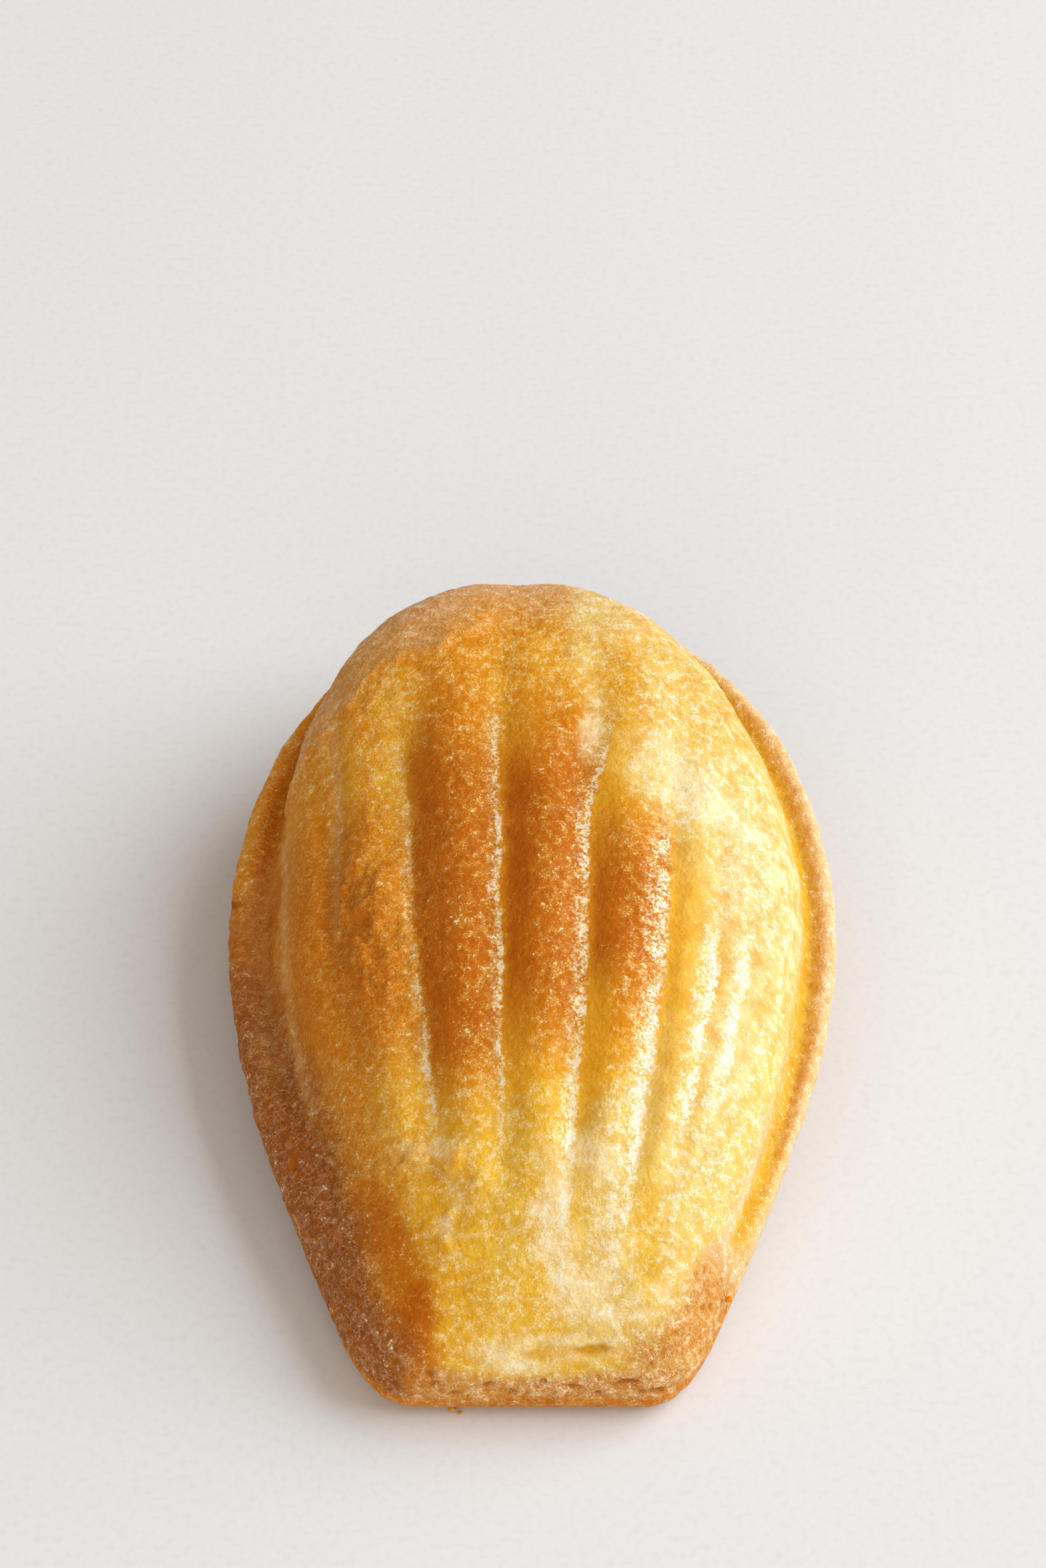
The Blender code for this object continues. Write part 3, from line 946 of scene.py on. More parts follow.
class Weave:
    """Adds and joins the nodes of one node tree."""

    def __init__(self, tree: bpy.types.NodeTree) -> None:
        """Takes the tree that the nodes are added to."""
        self.tree = tree

    def add(self, kind: str, **settings: object) -> bpy.types.Node:
        """Adds a node.

        Args:
            kind: Blender's name for the kind of node.
            settings: The properties to set on it.

        Returns:
            The new node.
        """
        made = self.tree.nodes.new(kind)
        for name, value in settings.items():
            setattr(made, name, value)
        return made

    def feed(self, socket: bpy.types.NodeSocket, source: object) -> None:
        """Links a socket to another one, or sets its value.

        Args:
            socket: The input to feed.
            source: A socket to link, a number, or three numbers for a colour or a vector.
        """
        if isinstance(source, bpy.types.NodeSocket):
            self.tree.links.new(source, socket)
        elif isinstance(source, tuple) and len(source) == 3 and socket.type == "RGBA":
            socket.default_value = (*source, 1.0)
        else:
            socket.default_value = source

    def maths(self, operation: str, *values: object) -> bpy.types.NodeSocket:
        """One sum on numbers.

        Args:
            operation: Blender's name for the sum; a dot after it clamps the result to 0..1.
            values: What goes in, in order.

        Returns:
            The result.
        """
        made = self.add("ShaderNodeMath", operation=operation.rstrip("."))
        made.use_clamp = operation.endswith(".")
        for socket, value in zip(made.inputs, values):
            self.feed(socket, value)
        return made.outputs[0]

    def times(self, first: object, second: object) -> bpy.types.NodeSocket:
        """The product of two numbers."""
        return self.maths("MULTIPLY", first, second)

    def ramp(self, value: object, low: float, high: float) -> bpy.types.NodeSocket:
        """A smooth change from 0 at low to 1 at high.

        Args:
            value: What the change follows.
            low, high: Where it starts and ends; high may be below low.

        Returns:
            The changed value, from 0 to 1.
        """
        made = self.add("ShaderNodeMapRange", interpolation_type="SMOOTHSTEP")
        self.feed(made.inputs["Value"], value)
        made.inputs["From Min"].default_value = min(low, high)
        made.inputs["From Max"].default_value = max(low, high)
        made.inputs["To Min"].default_value = 0.0 if high >= low else 1.0
        made.inputs["To Max"].default_value = 1.0 if high >= low else 0.0
        return made.outputs["Result"]

    def mix(self, share: object, first: object, second: object,
            blend: str = "MIX") -> bpy.types.NodeSocket:
        """A colour between two others, or the first multiplied by the second.

        Args:
            share: How far the second colour takes over, from 0 to 1.
            first, second: The two colours.
            blend: Blender's name for the way that they are mixed.

        Returns:
            The mixed colour.
        """
        made = self.add("ShaderNodeMix", data_type="RGBA", blend_type=blend)
        self.feed(made.inputs[0], share)
        self.feed(made.inputs[6], first)
        self.feed(made.inputs[7], second)
        return made.outputs[2]

    def cloud(self, place: object, per_mm: float, detail: float = 2.0,
              output: str = "Fac") -> bpy.types.NodeSocket:
        """Smooth noise around 0.5.

        Args:
            place: Where it is read.
            per_mm: How many lumps there are in a millimetre.
            detail: How many finer layers are added.
            output: Which output of the noise is wanted.

        Returns:
            The noise.
        """
        made = self.add("ShaderNodeTexNoise")
        self.feed(made.inputs["Vector"], place)
        made.inputs["Scale"].default_value = per_mm / MM
        made.inputs["Detail"].default_value = detail
        return made.outputs[output]

    def around_zero(self, value: object) -> bpy.types.NodeSocket:
        """A value around 0.5 moved to lie around 0."""
        return self.maths("SUBTRACT", value, 0.5)

    def vector(self, operation: str, *values: object) -> bpy.types.NodeSocket:
        """One sum on vectors.

        Args:
            operation: Blender's name for the sum.
            values: What goes in, in order.

        Returns:
            The resulting vector.
        """
        made = self.add("ShaderNodeVectorMath", operation=operation)
        for socket, value in zip(made.inputs, values):
            self.feed(socket, value)
        return made.outputs[0]

    def attribute(self, name: str) -> bpy.types.NodeSocket:
        """A number stored on the mesh."""
        return self.add("ShaderNodeAttribute", attribute_name=name).outputs["Fac"]


class GroupMaker:
    """Starts a node group with named inputs and outputs.

    Attributes:
        tree: The group's own tree.
        weave: Works on that tree.
        given: The values that come in, by name.
        result: The sockets to feed with what goes out, by name.
    """

    def __init__(self, name: str, inputs: dict[str, tuple[Socket, object]],
                 outputs: dict[str, Socket]) -> None:
        """Makes the group and its sockets.

        Args:
            name: The group's name.
            inputs: Each input's kind and value by its name; None leaves Blender's own value.
            outputs: Each output's kind by its name.
        """
        self.tree = bpy.data.node_groups.new(name, "ShaderNodeTree")
        for label, (kind, value) in inputs.items():
            made = self.tree.interface.new_socket(label, in_out="INPUT", socket_type=kind.value)
            if value is not None:
                made.default_value = value
        for label, kind in outputs.items():
            self.tree.interface.new_socket(label, in_out="OUTPUT", socket_type=kind.value)
        self.weave = Weave(self.tree)
        self.given = self.weave.add("NodeGroupInput").outputs
        self.result = self.weave.add("NodeGroupOutput").inputs


@dataclass(frozen=True)
class SpongeCrumb:
    """The sponge's open structure: bright curly strands over darker cells, wet specks and painted
    glints.

    Attributes:
        clumps, dots, patches, lumps, mottle, specks, glints: Lumps in a millimetre of each
            noise.
        wisps: The curly strands, as (lumps in a millimetre, thickness, shift in millimetres).
        cells: Open cells in a millimetre.
        cell_wall: How thick the cells' walls are, as a share of a cell.
        cell_bend: How far the cells are bent out of true, in metres.
        swirl: Lumps in a millimetre of the noise that bends them.
        crowd_base, crowd_per_density: How crowded the strands are with no density, and how
            much more with all of it.
        curl_edge, dot_edge, patch_edge, speck_edge, glint_edge: Where the soft edge of each
            starts and ends.
        curl_share, lace_share: How bright the curly strands and the walls are.
        curl_height, lace_height, lump_height: How far each stands up, in the finish's bump.
    """

    clumps: float = 1.5
    wisps: tuple[tuple[float, float, float], ...] = ((1.9, 0.070, 0.0), (3.2, 0.090, 7.0))
    dots: float = 6.5
    cells: float = 2.1
    cell_wall: float = 0.20
    cell_bend: float = 0.30 * MM
    patches: float = 1.3
    lumps: float = 2.8
    mottle: float = 0.6
    specks: float = 3.8
    glints: float = 4.6
    swirl: float = 2.5
    crowd_base: float = 0.275
    crowd_per_density: float = 0.32
    curl_edge: Edge = (0.36, 0.62)
    dot_edge: Edge = (0.98, 1.14)
    patch_edge: Edge = (0.34, 0.66)
    speck_edge: Edge = (0.48, 0.64)
    glint_edge: Edge = (1.11, 1.21)
    curl_share: float = 0.9
    lace_share: float = 0.75
    curl_height: float = 0.12
    lace_height: float = 0.35
    lump_height: float = 0.9

    def group(self) -> bpy.types.NodeTree:
        """Builds the node group.

        Returns:
            The group's tree.
        """
        maker = GroupMaker(
            "sponge crumb",
            {"Place": (Socket.PLACE, None), "Density": (Socket.NUMBER, 0.5),
             "Clumping": (Socket.NUMBER, 0.5), "Lace": (Socket.NUMBER, 0.0)},
            {"Strand": Socket.NUMBER, "Height": Socket.NUMBER, "Mottle": Socket.NUMBER,
             "Speck": Socket.NUMBER, "Painted Glint": Socket.NUMBER},
        )
        weave, given, result = maker.weave, maker.given, maker.result
        place = given["Place"]
        clumps = weave.around_zero(weave.cloud(place, self.clumps, 1.0))
        crowd = weave.maths("ADD", weave.times(clumps, given["Clumping"]), self.crowd_base)
        density = weave.times(given["Density"], self.crowd_per_density)
        crowd = weave.maths("ADD", crowd, density)
        curls = self._curls(weave, place, crowd)
        dots = weave.maths("ADD", weave.cloud(place, self.dots, 1.0), crowd)
        laced = weave.times(self._lace(weave, place), given["Lace"])
        fuzz = weave.times(curls, self.curl_share)
        fuzz = weave.maths("MAXIMUM", fuzz, weave.ramp(dots, *self.dot_edge))
        walls = weave.times(laced, self.lace_share)
        weave.feed(result["Strand"], weave.maths("MAXIMUM", fuzz, walls))
        raised = weave.times(curls, self.curl_height)
        raised = weave.maths("ADD", raised, weave.times(laced, self.lace_height))
        lumps = weave.times(weave.cloud(place, self.lumps, 3.0), self.lump_height)
        weave.feed(result["Height"], weave.maths("ADD", raised, lumps))
        weave.feed(result["Mottle"], weave.cloud(place, self.mottle, 4.0))
        speck = weave.ramp(weave.cloud(place, self.specks), *self.speck_edge)
        weave.feed(result["Speck"], speck)
        # Painted glints: a sparse mask where highlights are laid into the colour.
        painted_glint = weave.maths("ADD", weave.cloud(place, self.glints, 1.0), crowd)
        weave.feed(result["Painted Glint"], weave.ramp(painted_glint, *self.glint_edge))
        return maker.tree

    def _curls(self, weave: Weave, place: object, crowd: object) -> bpy.types.NodeSocket:
        """Thin curly strands of two sizes, which show where the crumb is crowded.

        Args:
            weave: Works on the group's tree.
            place: Where the crumb is read.
            crowd: How crowded the strands are.

        Returns:
            How far each place lies in a strand, from 0 to 1.
        """
        strands = []
        for per_mm, thick, shift in self.wisps:
            moved = weave.vector("ADD", place, (shift * MM, 2.0 * shift * MM, 3.0 * shift * MM))
            centred = weave.maths("ABSOLUTE", weave.around_zero(weave.cloud(moved, per_mm)))
            strands.append(weave.ramp(centred, thick, 0.0))
        shown = weave.ramp(crowd, *self.curl_edge)
        return weave.times(weave.maths("MAXIMUM", *strands), shown)

    def _lace(self, weave: Weave, place: object) -> bpy.types.NodeSocket:
        """Walls of bent open cells, which come and go in patches.

        Args:
            weave: Works on the group's tree.
            place: Where the crumb is read.

        Returns:
            How far each place lies in a wall, from 0 to 1.
        """
        bend = (self.cell_bend, self.cell_bend, self.cell_bend)
        swirl = weave.cloud(place, self.swirl, 0.0, "Color")
        bent = weave.vector("MULTIPLY_ADD", swirl, bend, place)
        cells = weave.add("ShaderNodeTexVoronoi", feature="DISTANCE_TO_EDGE")
        weave.feed(cells.inputs["Vector"], bent)
        cells.inputs["Scale"].default_value = self.cells / MM
        walls = weave.ramp(cells.outputs["Distance"], self.cell_wall, 0.0)
        shown = weave.ramp(weave.cloud(place, self.patches), *self.patch_edge)
        return weave.times(walls, shown)


def zone_group() -> bpy.types.NodeTree:
    """Turns one pair of crumb colours into another where a zone's frayed mask says so.

    Returns:
        The group's tree.
    """
    maker = GroupMaker(
        "baked zone",
        {"Cell Colour": (Socket.COLOUR, None), "Strand Colour": (Socket.COLOUR, None),
         "Zone Cell": (Socket.COLOUR, None), "Zone Strand": (Socket.COLOUR, None),
         "Mask": (Socket.NUMBER, 0.0), "Fray": (Socket.NUMBER, 0.5),
         "Fray Amount": (Socket.NUMBER, 0.3)},
        {"Cell Colour": Socket.COLOUR, "Strand Colour": Socket.COLOUR},
    )
    weave, given, result = maker.weave, maker.given, maker.result
    swing = weave.times(weave.around_zero(given["Fray"]), given["Fray Amount"])
    outside = weave.maths("SUBTRACT", 1.0, given["Mask"])
    border = weave.times(weave.times(given["Mask"], outside), 4.0)
    mask = weave.maths("ADD.", given["Mask"], weave.times(border, swing))
    for which in ("Cell", "Strand"):
        colour = weave.mix(mask, given[f"{which} Colour"], given[f"Zone {which}"])
        weave.feed(result[f"{which} Colour"], colour)
    return maker.tree


@dataclass(frozen=True)
class Zone:
    """One baked zone: its mask's name, the colours of its cells and strands, and its fray."""

    mask: str
    cell: Colour
    strand: Colour
    fray: float = 0.6


@dataclass(frozen=True)
class CrustFinish:
    """Golden buttery crust over open crumb.

    Attributes:
        name: The material's name.
        cell, strand: Colours of the crumb outside every zone.
        zones: The zones in the order they are laid over each other.
        wet_crumb_highlight, painted_glint: Colours of the paler wet crumb with its painted
            highlight
        along the grooves, and of the painted glints.
        deep_tint: What the crust is multiplied by in its darker mottles.
        line_wobble: How widely the painted highlight line strays about its groove, in the groove's
            half widths.
        wobbles, beads: Lumps in a millimetre of the noises that bend and break a line.
        bead_edge: Where the soft edge of a line's beads starts and ends.
        core_edge, core_side: Where a line ends all round and on its right, in half widths.
        halo_edge, halo_side: The same for its halo.
        line_halo: How strong the painted halo is, beside the line's 1.
        density, gleam_density: The crumb's density, and how much the painted highlight line adds to
            it.
        bare_thinning, amber_thinning: What bare crust and amber crust take from it.
        lace_on_bare: How far open cells undo the bare crust's thinning.
        clumping, light_clumping: How unevenly the strands lie, and what the light side adds.
        mottle_edge: The mottles at which the deeper tint begins and is complete.
        gloss_edge: The strand values at which the crumb would be all gloss and all dull.
        painted_glint_share, wet_highlight_share: How far the painted glints and the wet crumb with
            its
        painted highlight cover the colour below them.
        dry_coat: How glossy a speck is where the crumb isn't wet.
        specular, coat_roughness, coat_ior: How the crust and its wet specks shine.
        bump: Height of the finest crumb, in metres.
        subsurface, subsurface_scale, subsurface_radius: How the light spreads inside.
    """

    name: str = "golden crust"
    cell: Colour = (0.72, 0.26, 0.004)
    strand: Colour = (0.92, 0.56, 0.14)
    zones: tuple[Zone, ...] = (
        Zone("gold", (0.83, 0.43, 0.017), (0.95, 0.69, 0.25)),
        # Painted shade on the slopes right of the grooves.
        Zone("valley", (0.87, 0.45, 0.022), (0.93, 0.62, 0.16), 0.2),
        Zone("straw", (0.82, 0.49, 0.040), (0.95, 0.73, 0.32)),
        # Browner crust; also painted shade in the left trench and the left rim groove.
        Zone("amber", (0.53, 0.135, 0.001), (0.76, 0.33, 0.025)),
        Zone("toast", (0.51, 0.130, 0.001), (0.68, 0.34, 0.040)),
        Zone("skin", (0.68, 0.29, 0.060), (0.89, 0.59, 0.25)),
        Zone("far skin", (0.72, 0.34, 0.12), (0.90, 0.62, 0.37)),
        Zone("light", (0.81, 0.57, 0.15), (0.94, 0.80, 0.53)),
        # Pale crumb, and painted sheen and highlight patches.
        Zone("cream and sheen", (0.89, 0.69, 0.34), (0.98, 0.88, 0.67), 1.6),
        # The wall's dark brown is partly real crust, partly painted shade on the side away from the
        # window.
        Zone("wall", (0.32, 0.088, 0.007), (0.61, 0.32, 0.16)),
        Zone("lip", (0.75, 0.50, 0.23), (0.90, 0.78, 0.58)),
        Zone("corner", (0.58, 0.24, 0.03), (0.84, 0.56, 0.24)),
        Zone("front", (0.62, 0.27, 0.055), (0.98, 0.76, 0.44)),
        Zone("torn", (0.93, 0.74, 0.38), (0.99, 0.92, 0.72)),
        Zone("base", (0.60, 0.27, 0.045), (0.85, 0.56, 0.26)),
        # The right trench, painted as a warm glow.
        Zone("glow", (0.72, 0.38, 0.014), (0.79, 0.48, 0.06), 0.2),
        Zone("hem", (0.58, 0.19, 0.010), (0.82, 0.42, 0.10)),
        # Painted shade in the hollow.
        Zone("hollow", (0.78, 0.43, 0.020), (0.86, 0.55, 0.09), 0.2),
        # Painted pale sheen and light, and the pale curled skin edge.
        Zone("haze", (0.70, 0.33, 0.08), (0.86, 0.56, 0.26)),
        # Partly the pits' own colour, partly painted shade in them.
        Zone("pore", (0.50, 0.15, 0.003), (0.66, 0.27, 0.03)),
    )
    wet_crumb_highlight: Colour = (0.98, 0.82, 0.62)
    painted_glint: Colour = (1.0, 0.90, 0.66)
    deep_tint: Colour = (0.93, 0.85, 0.68)
    line_wobble: float = 2.4
    wobbles: float = 1.4
    beads: float = 1.3
    bead_edge: Edge = (0.34, 0.54)
    core_edge: Edge = (1.25, 0.25)
    core_side: Edge = (1.3, 0.5)
    halo_edge: Edge = (4.0, 0.8)
    halo_side: Edge = (0.6, -0.4)
    line_halo: float = 0.42
    density: float = 0.50
    gleam_density: float = 0.8
    bare_thinning: float = 0.42
    amber_thinning: float = 0.2
    lace_on_bare: float = 0.6
    clumping: float = 0.55
    light_clumping: float = 0.2
    mottle_edge: Edge = (0.62, 0.34)
    gloss_edge: Edge = (1.6, -0.35)
    painted_glint_share: float = 0.7
    wet_highlight_share: float = 0.85
    dry_coat: float = 0.07
    specular: float = 0.15
    coat_roughness: float = 0.25
    coat_ior: float = 2.3
    bump: float = 0.20 * MM
    subsurface: float = 0.35
    subsurface_scale: float = 2.2 * MM
    subsurface_radius: tuple[float, float, float] = (1.0, 0.45, 0.12)

    def make(self, crumb: bpy.types.NodeTree, zone: bpy.types.NodeTree) -> bpy.types.Material:
        """Builds the material.

        Args:
            crumb: The shared group of the sponge's crumb.
            zone: The shared group of a baked zone.

        Returns:
            The material.
        """
        material = bpy.data.materials.new(self.name)
        material.use_nodes = True
        weave = Weave(material.node_tree)
        shader = material.node_tree.nodes["Principled BSDF"]
        place = weave.add("ShaderNodeTexCoord").outputs["Object"]
        gleam = self._gleam(weave, place)
        sponge = self._sponge(weave, place, gleam, crumb)
        strand, mottle = sponge.outputs["Strand"], sponge.outputs["Mottle"]
        speck = sponge.outputs["Speck"]
        colour = weave.mix(strand, *self._zoned_colours(weave, mottle, zone))
        # Painted glints: sparse highlights laid into the colour.
        painted_glint = weave.times(sponge.outputs["Painted Glint"], self.painted_glint_share)
        colour = weave.mix(painted_glint, colour, self.painted_glint)
        deep = weave.ramp(mottle, *self.mottle_edge)
        colour = weave.mix(deep, colour, self.deep_tint, "MULTIPLY")
        # Paler wet crumb with a painted highlight along the grooves.
        wet = weave.times(weave.maths("MULTIPLY.", speck, gleam), self.wet_highlight_share)
        weave.feed(shader.inputs["Base Color"], weave.mix(wet, colour, self.wet_crumb_highlight))
        bump = weave.add("ShaderNodeBump")
        bump.inputs["Distance"].default_value = self.bump
        weave.feed(bump.inputs["Height"], sponge.outputs["Height"])
        weave.feed(shader.inputs["Normal"], bump.outputs["Normal"])
        weave.feed(shader.inputs["Roughness"], weave.ramp(strand, *self.gloss_edge))
        coat = weave.maths("MULTIPLY.", speck, weave.maths("ADD", self.dry_coat, gleam))
        weave.feed(shader.inputs["Coat Weight"], coat)
        shader.inputs["Coat Roughness"].default_value = self.coat_roughness
        shader.inputs["Coat IOR"].default_value = self.coat_ior
        shader.inputs["Specular IOR Level"].default_value = self.specular
        shader.inputs["Subsurface Weight"].default_value = self.subsurface
        shader.inputs["Subsurface Scale"].default_value = self.subsurface_scale
        shader.inputs["Subsurface Radius"].default_value = self.subsurface_radius
        return material

    def _gleam(self, weave: Weave, place: object) -> bpy.types.NodeSocket:
        """A painted highlight on paler wet crumb along the grooves: a frayed line with a softer
        halo on its left.

        Args:
            weave: Works on the material's tree.
            place: Where the crumb is read.

        Returns:
            How strongly the wet crumb and its painted highlight show, from 0 to 1.
        """
        wobble = weave.around_zero(weave.cloud(place, self.wobbles))
        wobble = weave.times(wobble, self.line_wobble)
        side = weave.times(weave.around_zero(weave.attribute("line")), 2.0 * LINE_LIMIT)
        beside = weave.maths("ABSOLUTE", weave.maths("ADD", side, wobble))
        beaded = weave.ramp(weave.cloud(place, self.beads), *self.bead_edge)
        core = weave.times(weave.ramp(beside, *self.core_edge), beaded)
        core = weave.times(core, weave.ramp(side, *self.core_side))
        halo = weave.ramp(beside, *self.halo_edge)
        halo = weave.times(halo, weave.ramp(side, *self.halo_side))
        both = weave.maths("ADD", core, weave.times(halo, self.line_halo))
        return weave.maths("MULTIPLY.", weave.attribute("gleam"), both)

    def _sponge(self, weave: Weave, place: object, gleam: object,
                crumb: bpy.types.NodeTree) -> bpy.types.Node:
        """The crumb: densest along the painted highlight lines, thin on the bare crust and the
        amber.

        Args:
            weave: Works on the material's tree.
            place: Where the crumb is read.
            gleam: How strongly the wet crumb and its painted highlight show.
            crumb: The shared group of the sponge's crumb.

        Returns:
            The placed group's node.
        """
        sponge = weave.add("ShaderNodeGroup", node_tree=crumb)
        lacy = weave.attribute("lacy")
        closed = weave.maths("SUBTRACT", 1.0, weave.times(lacy, self.lace_on_bare))
        bare = weave.times(weave.attribute("bare"), closed)
        density = weave.maths("ADD", self.density, weave.times(gleam, self.gleam_density))
        # Fewer pale strands on the bare crust: partly real smooth crust, partly painted shade.
        density = weave.maths("SUBTRACT", density, weave.times(bare, self.bare_thinning))
        amber = weave.times(weave.attribute("amber"), self.amber_thinning)
        density = weave.maths("SUBTRACT", density, amber)
        light = weave.times(weave.attribute("light"), self.light_clumping)
        clumping = weave.maths("ADD", self.clumping, light)
        weave.feed(sponge.inputs["Place"], place)
        weave.feed(sponge.inputs["Density"], density)
        weave.feed(sponge.inputs["Clumping"], clumping)
        weave.feed(sponge.inputs["Lace"], lacy)
        return sponge

    def _zoned_colours(self, weave: Weave, fray: object,
                       zone: bpy.types.NodeTree) -> tuple[object, object]:
        """Lays every zone's colours over the crumb's own.

        Args:
            weave: Works on the material's tree.
            fray: Noise that frays the zones' borders.
            zone: The shared group of a baked zone.

        Returns:
            The colours of the cells and of the strands.
        """
        cell: object = self.cell
        strand: object = self.strand
        for one in self.zones:
            step = weave.add("ShaderNodeGroup", node_tree=zone)
            weave.feed(step.inputs["Cell Colour"], cell)
            weave.feed(step.inputs["Strand Colour"], strand)
            weave.feed(step.inputs["Zone Cell"], one.cell)
            weave.feed(step.inputs["Zone Strand"], one.strand)
            weave.feed(step.inputs["Mask"], weave.attribute(one.mask))
            weave.feed(step.inputs["Fray"], fray)
            weave.feed(step.inputs["Fray Amount"], one.fray)
            cell, strand = step.outputs["Cell Colour"], step.outputs["Strand Colour"]
        return cell, strand


@dataclass(frozen=True)
class TableFinish:
    """Plain pale table top with the faintest grain.

    Attributes:
        name: The material's name.
        colour, grain: Colours of the table top and of its grain.
        grains: Lumps of the grain in a millimetre.
        grain_edge: Where the grain's soft edge starts and ends.
        roughness, specular: How the table top shines.
    """

    name: str = "pale table"
    colour: Colour = (0.80, 0.80, 0.80)
    grain: Colour = (0.77, 0.77, 0.77)
    grains: float = 1.5
    grain_edge: Edge = (0.45, 0.7)
    roughness: float = 0.7
    specular: float = 0.2

    def make(self) -> bpy.types.Material:
        """Builds the material.

        Returns:
            The material.
        """
        material = bpy.data.materials.new(self.name)
        material.use_nodes = True
        weave = Weave(material.node_tree)
        shader = material.node_tree.nodes["Principled BSDF"]
        place = weave.add("ShaderNodeTexCoord").outputs["Object"]
        grain = weave.ramp(weave.cloud(place, self.grains, 3.0), *self.grain_edge)
        weave.feed(shader.inputs["Base Color"], weave.mix(grain, self.colour, self.grain))
        shader.inputs["Roughness"].default_value = self.roughness
        shader.inputs["Specular IOR Level"].default_value = self.specular
        return material


# ---------------------------------------------------------------- loose crumbs


@dataclass(frozen=True)
class Crumb:
    """A loose crumb: where it lies, the height of what is under it, and its radius, in mm."""

    x: float
    y: float
    floor: float
    radius: float


@dataclass
class LooseCrumbs:
    """Tiny crumbs that have fallen beside the cake.

    Attributes:
        name: The piece's name.
        spots: The crumbs.
        lump: How far a crumb's surface swells or sinks, as a share of its radius.
        lump_size: The size of those swellings, as a share of its radius.
        flatness: A crumb's height as a share of its width.
    """

    name: str = "crumbs"
    spots: tuple[Crumb, ...] = (
        Crumb(-5.95, -37.0, 0.0, 0.26),
        Crumb(-5.4, -37.25, 0.0, 0.15),
        Crumb(14.6, -30.2, 4.4, 0.30),
    )
    lump: float = 0.55
    lump_size: float = 0.7
    flatness: float = 0.75

    def build(self) -> bpy.types.Object:
        """Models each crumb and joins them into one piece.

        Returns:
            The finished piece.
        """
        dice = random.Random(SEED)
        made = [self._crumb(spot, dice) for spot in self.spots]
        deselect_all()
        for item in made:
            item.select_set(True)
        bpy.context.view_layer.objects.active = made[0]
        bpy.ops.object.join()
        piece = bpy.context.object
        piece.name = piece.data.name = self.name
        make_active(piece)
        bpy.ops.object.transform_apply(location=True, rotation=True, scale=True)
        bpy.ops.object.shade_smooth()
        return piece

    def _crumb(self, spot: Crumb, dice: random.Random) -> bpy.types.Object:
        """Models one lumpy crumb.

        Args:
            spot: Where it lies and how big it is.
            dice: Picks its lumps.

        Returns:
            The crumb's object.
        """
        place = Vector((spot.x, spot.y, spot.floor + spot.radius * 0.7)) * MM
        deselect_all()
        bpy.ops.mesh.primitive_ico_sphere_add(
            subdivisions=3, radius=spot.radius * MM, location=place)
        crumb = bpy.context.object
        shift = Vector((dice.uniform(0, 50), dice.uniform(0, 50), dice.uniform(0, 50)))
        for vertex in crumb.data.vertices:
            swell = noise.noise(vertex.co / (spot.radius * self.lump_size * MM) + shift)
            vertex.co *= 1.0 + self.lump * swell
            vertex.co.z *= self.flatness
        return crumb


# ---------------------------------------------------------------- the studio


@dataclass(frozen=True)
class Lamp:
    """A soft rectangular light that faces the cake.

    Attributes:
        name: What it stands for.
        azimuth_deg: Its direction in plan, from +X towards +Y.
        elevation_deg: Its height above the table, as an angle.
        distance: How far it is from the cake.
        size: Its width and height.
        power: In watts.
        colour: Its tint.
    """

    name: str
    azimuth_deg: float
    elevation_deg: float
    distance: float
    size: tuple[float, float]
    power: float
    colour: Colour

    def direction(self) -> Vector:
        """Where the lamp stands.

        Returns:
            The unit vector from the cake to the lamp.
        """
        around, up = math.radians(self.azimuth_deg), math.radians(self.elevation_deg)
        flat = math.cos(up)
        return Vector((math.cos(around) * flat, math.sin(around) * flat, math.sin(up)))


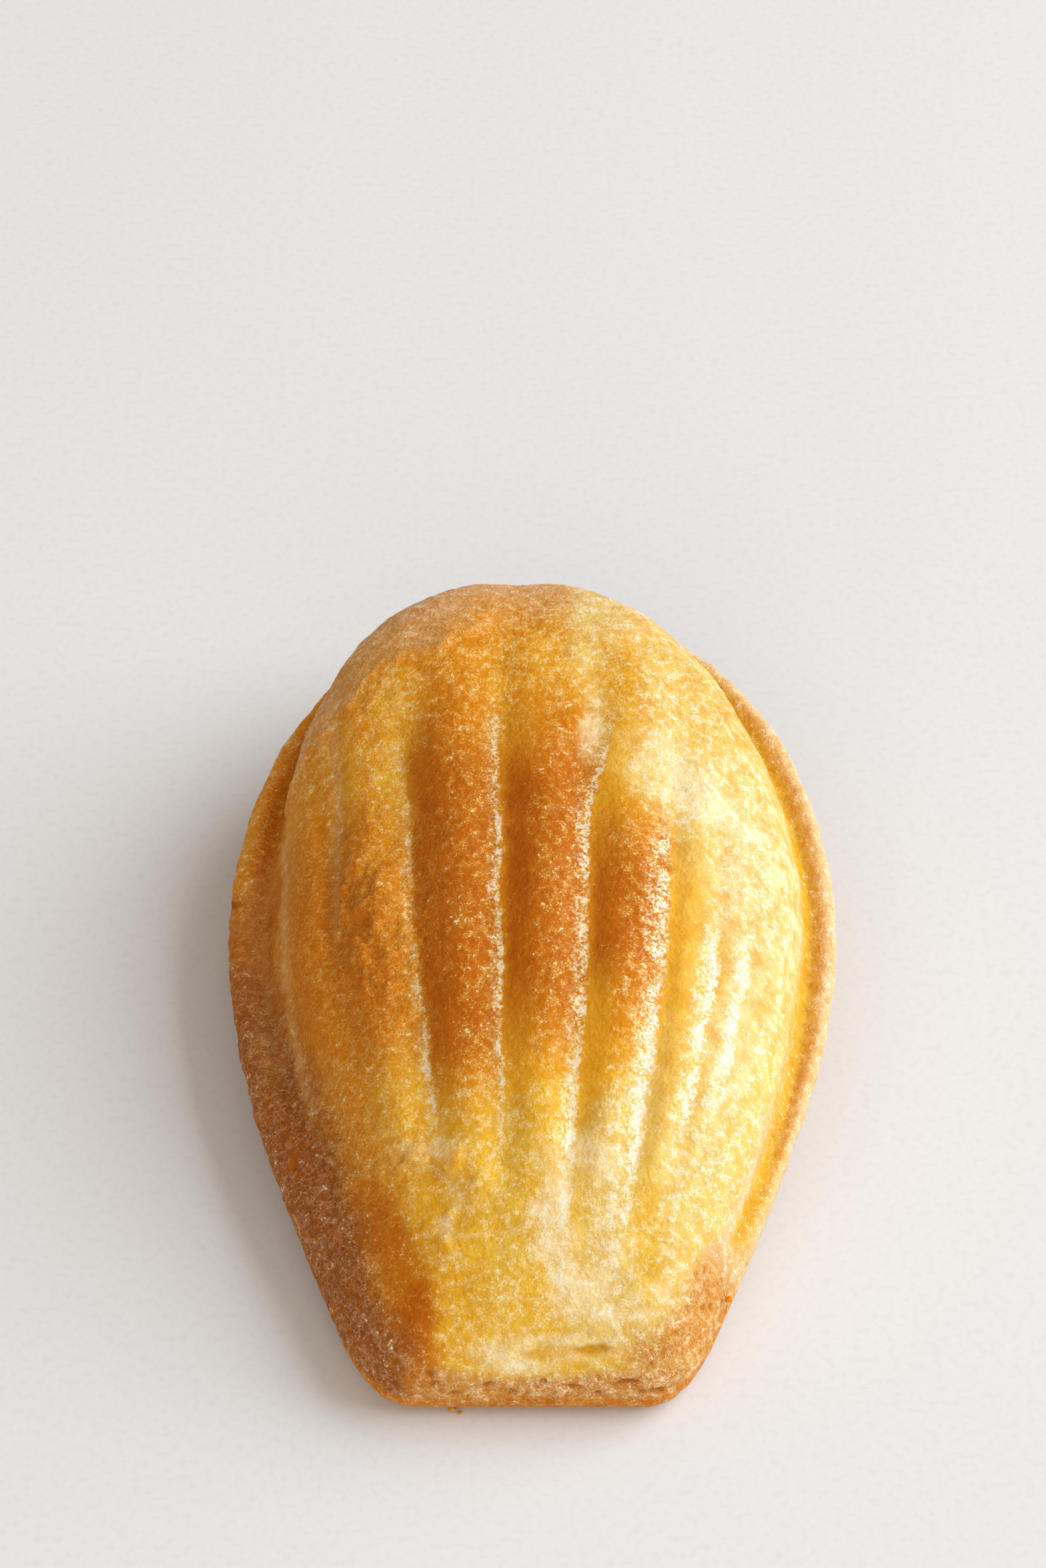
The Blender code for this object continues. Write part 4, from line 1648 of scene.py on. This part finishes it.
@dataclass(frozen=True)
class Studio:
    """Table, window light, room light and camera.

    Attributes:
        table_half: Half the table's width, in metres.
        room_light, room_colour: Strength and tint of the even light from all round.
        lamps: The lamps.
        camera_place: Where the camera stands, in metres.
        camera_pitch_deg: How far it looks down.
        lens: Its focal length, in millimetres.
        nearest_seen: How close to the camera it still sees, in metres.
    """

    table_half: float = 3.0
    room_light: float = 0.38
    room_colour: Colour = (1.0, 0.86, 0.72)
    lamps: tuple[Lamp, ...] = (
        Lamp("window", 11.0, 33.0, 1.2, (1.30, 1.25), 21.0, (0.86, 0.93, 1.0)),
        Lamp("room glow", -95.0, 30.0, 1.2, (1.5, 0.9), 5.5, (1.0, 0.95, 0.90)),
    )
    camera_place: tuple[float, float, float] = (-0.0007, -0.23074, 0.26745)
    camera_pitch_deg: float = 46.0
    lens: float = 101.34
    nearest_seen: float = 0.01

    def build(self, finish: bpy.types.Material) -> None:
        """Sets everything round the cake.

        Args:
            finish: The table's material.
        """
        self._table(finish)
        self._room()
        self._lights()
        self._camera()
        bpy.context.scene.view_settings.view_transform = "Standard"

    def _table(self, finish: bpy.types.Material) -> None:
        """Lays a wide plain table top at z = 0.

        Args:
            finish: The table's material.
        """
        deselect_all()
        bpy.ops.mesh.primitive_plane_add(size=2.0 * self.table_half, location=(0.0, 0.0, 0.0))
        table = bpy.context.object
        table.name = table.data.name = "table"
        table.data.materials.append(finish)

    def _room(self) -> None:
        """Even light from all round."""
        world = bpy.data.worlds.new("room")
        bpy.context.scene.world = world
        world.use_nodes = True
        background = world.node_tree.nodes["Background"]
        background.inputs["Color"].default_value = (*self.room_colour, 1.0)
        background.inputs["Strength"].default_value = self.room_light

    def _lights(self) -> None:
        """Each lamp as an area light that faces the cake."""
        for lamp in self.lamps:
            direction = lamp.direction()
            light = bpy.data.lights.new(lamp.name, "AREA")
            light.shape = "RECTANGLE"
            light.size, light.size_y = lamp.size
            light.energy = lamp.power
            light.color = lamp.colour
            item = bpy.data.objects.new(lamp.name, light)
            item.location = direction * lamp.distance
            item.rotation_euler = (-direction).to_track_quat("-Z", "Y").to_euler()
            bpy.context.scene.collection.objects.link(item)

    def _camera(self) -> None:
        """A long lens looking down at the nose."""
        camera = bpy.data.cameras.new("camera")
        camera.lens = self.lens
        camera.clip_start = self.nearest_seen
        item = bpy.data.objects.new("camera", camera)
        item.location = self.camera_place
        item.rotation_euler = Euler((math.radians(90.0 - self.camera_pitch_deg), 0.0, 0.0))
        bpy.context.scene.collection.objects.link(item)
        bpy.context.scene.camera = item


def hand_over(piece: bpy.types.Object, finish: bpy.types.Material) -> None:
    """Dresses a finished piece and fixes it to the cake's body.

    Args:
        piece: The piece's object.
        finish: Its material.
    """
    piece.data.materials.clear()
    piece.data.materials.append(finish)
    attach(piece, BODY)
    LOG.info("%s: %d faces", piece.name, len(piece.data.polygons))


def main() -> None:
    """Builds every piece in order."""
    logging.basicConfig(level=logging.INFO, format="%(name)s: %(message)s")
    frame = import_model()
    crust = CrustFinish().make(SpongeCrumb().group(), zone_group())
    cake = Cake().build(frame["nodes"][NODE])
    hand_over(cake, crust)
    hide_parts(NODE)
    crumbs = LooseCrumbs().build()
    hand_over(crumbs, crust)
    Studio().build(TableFinish().make())


if __name__ == "__main__":
    main()
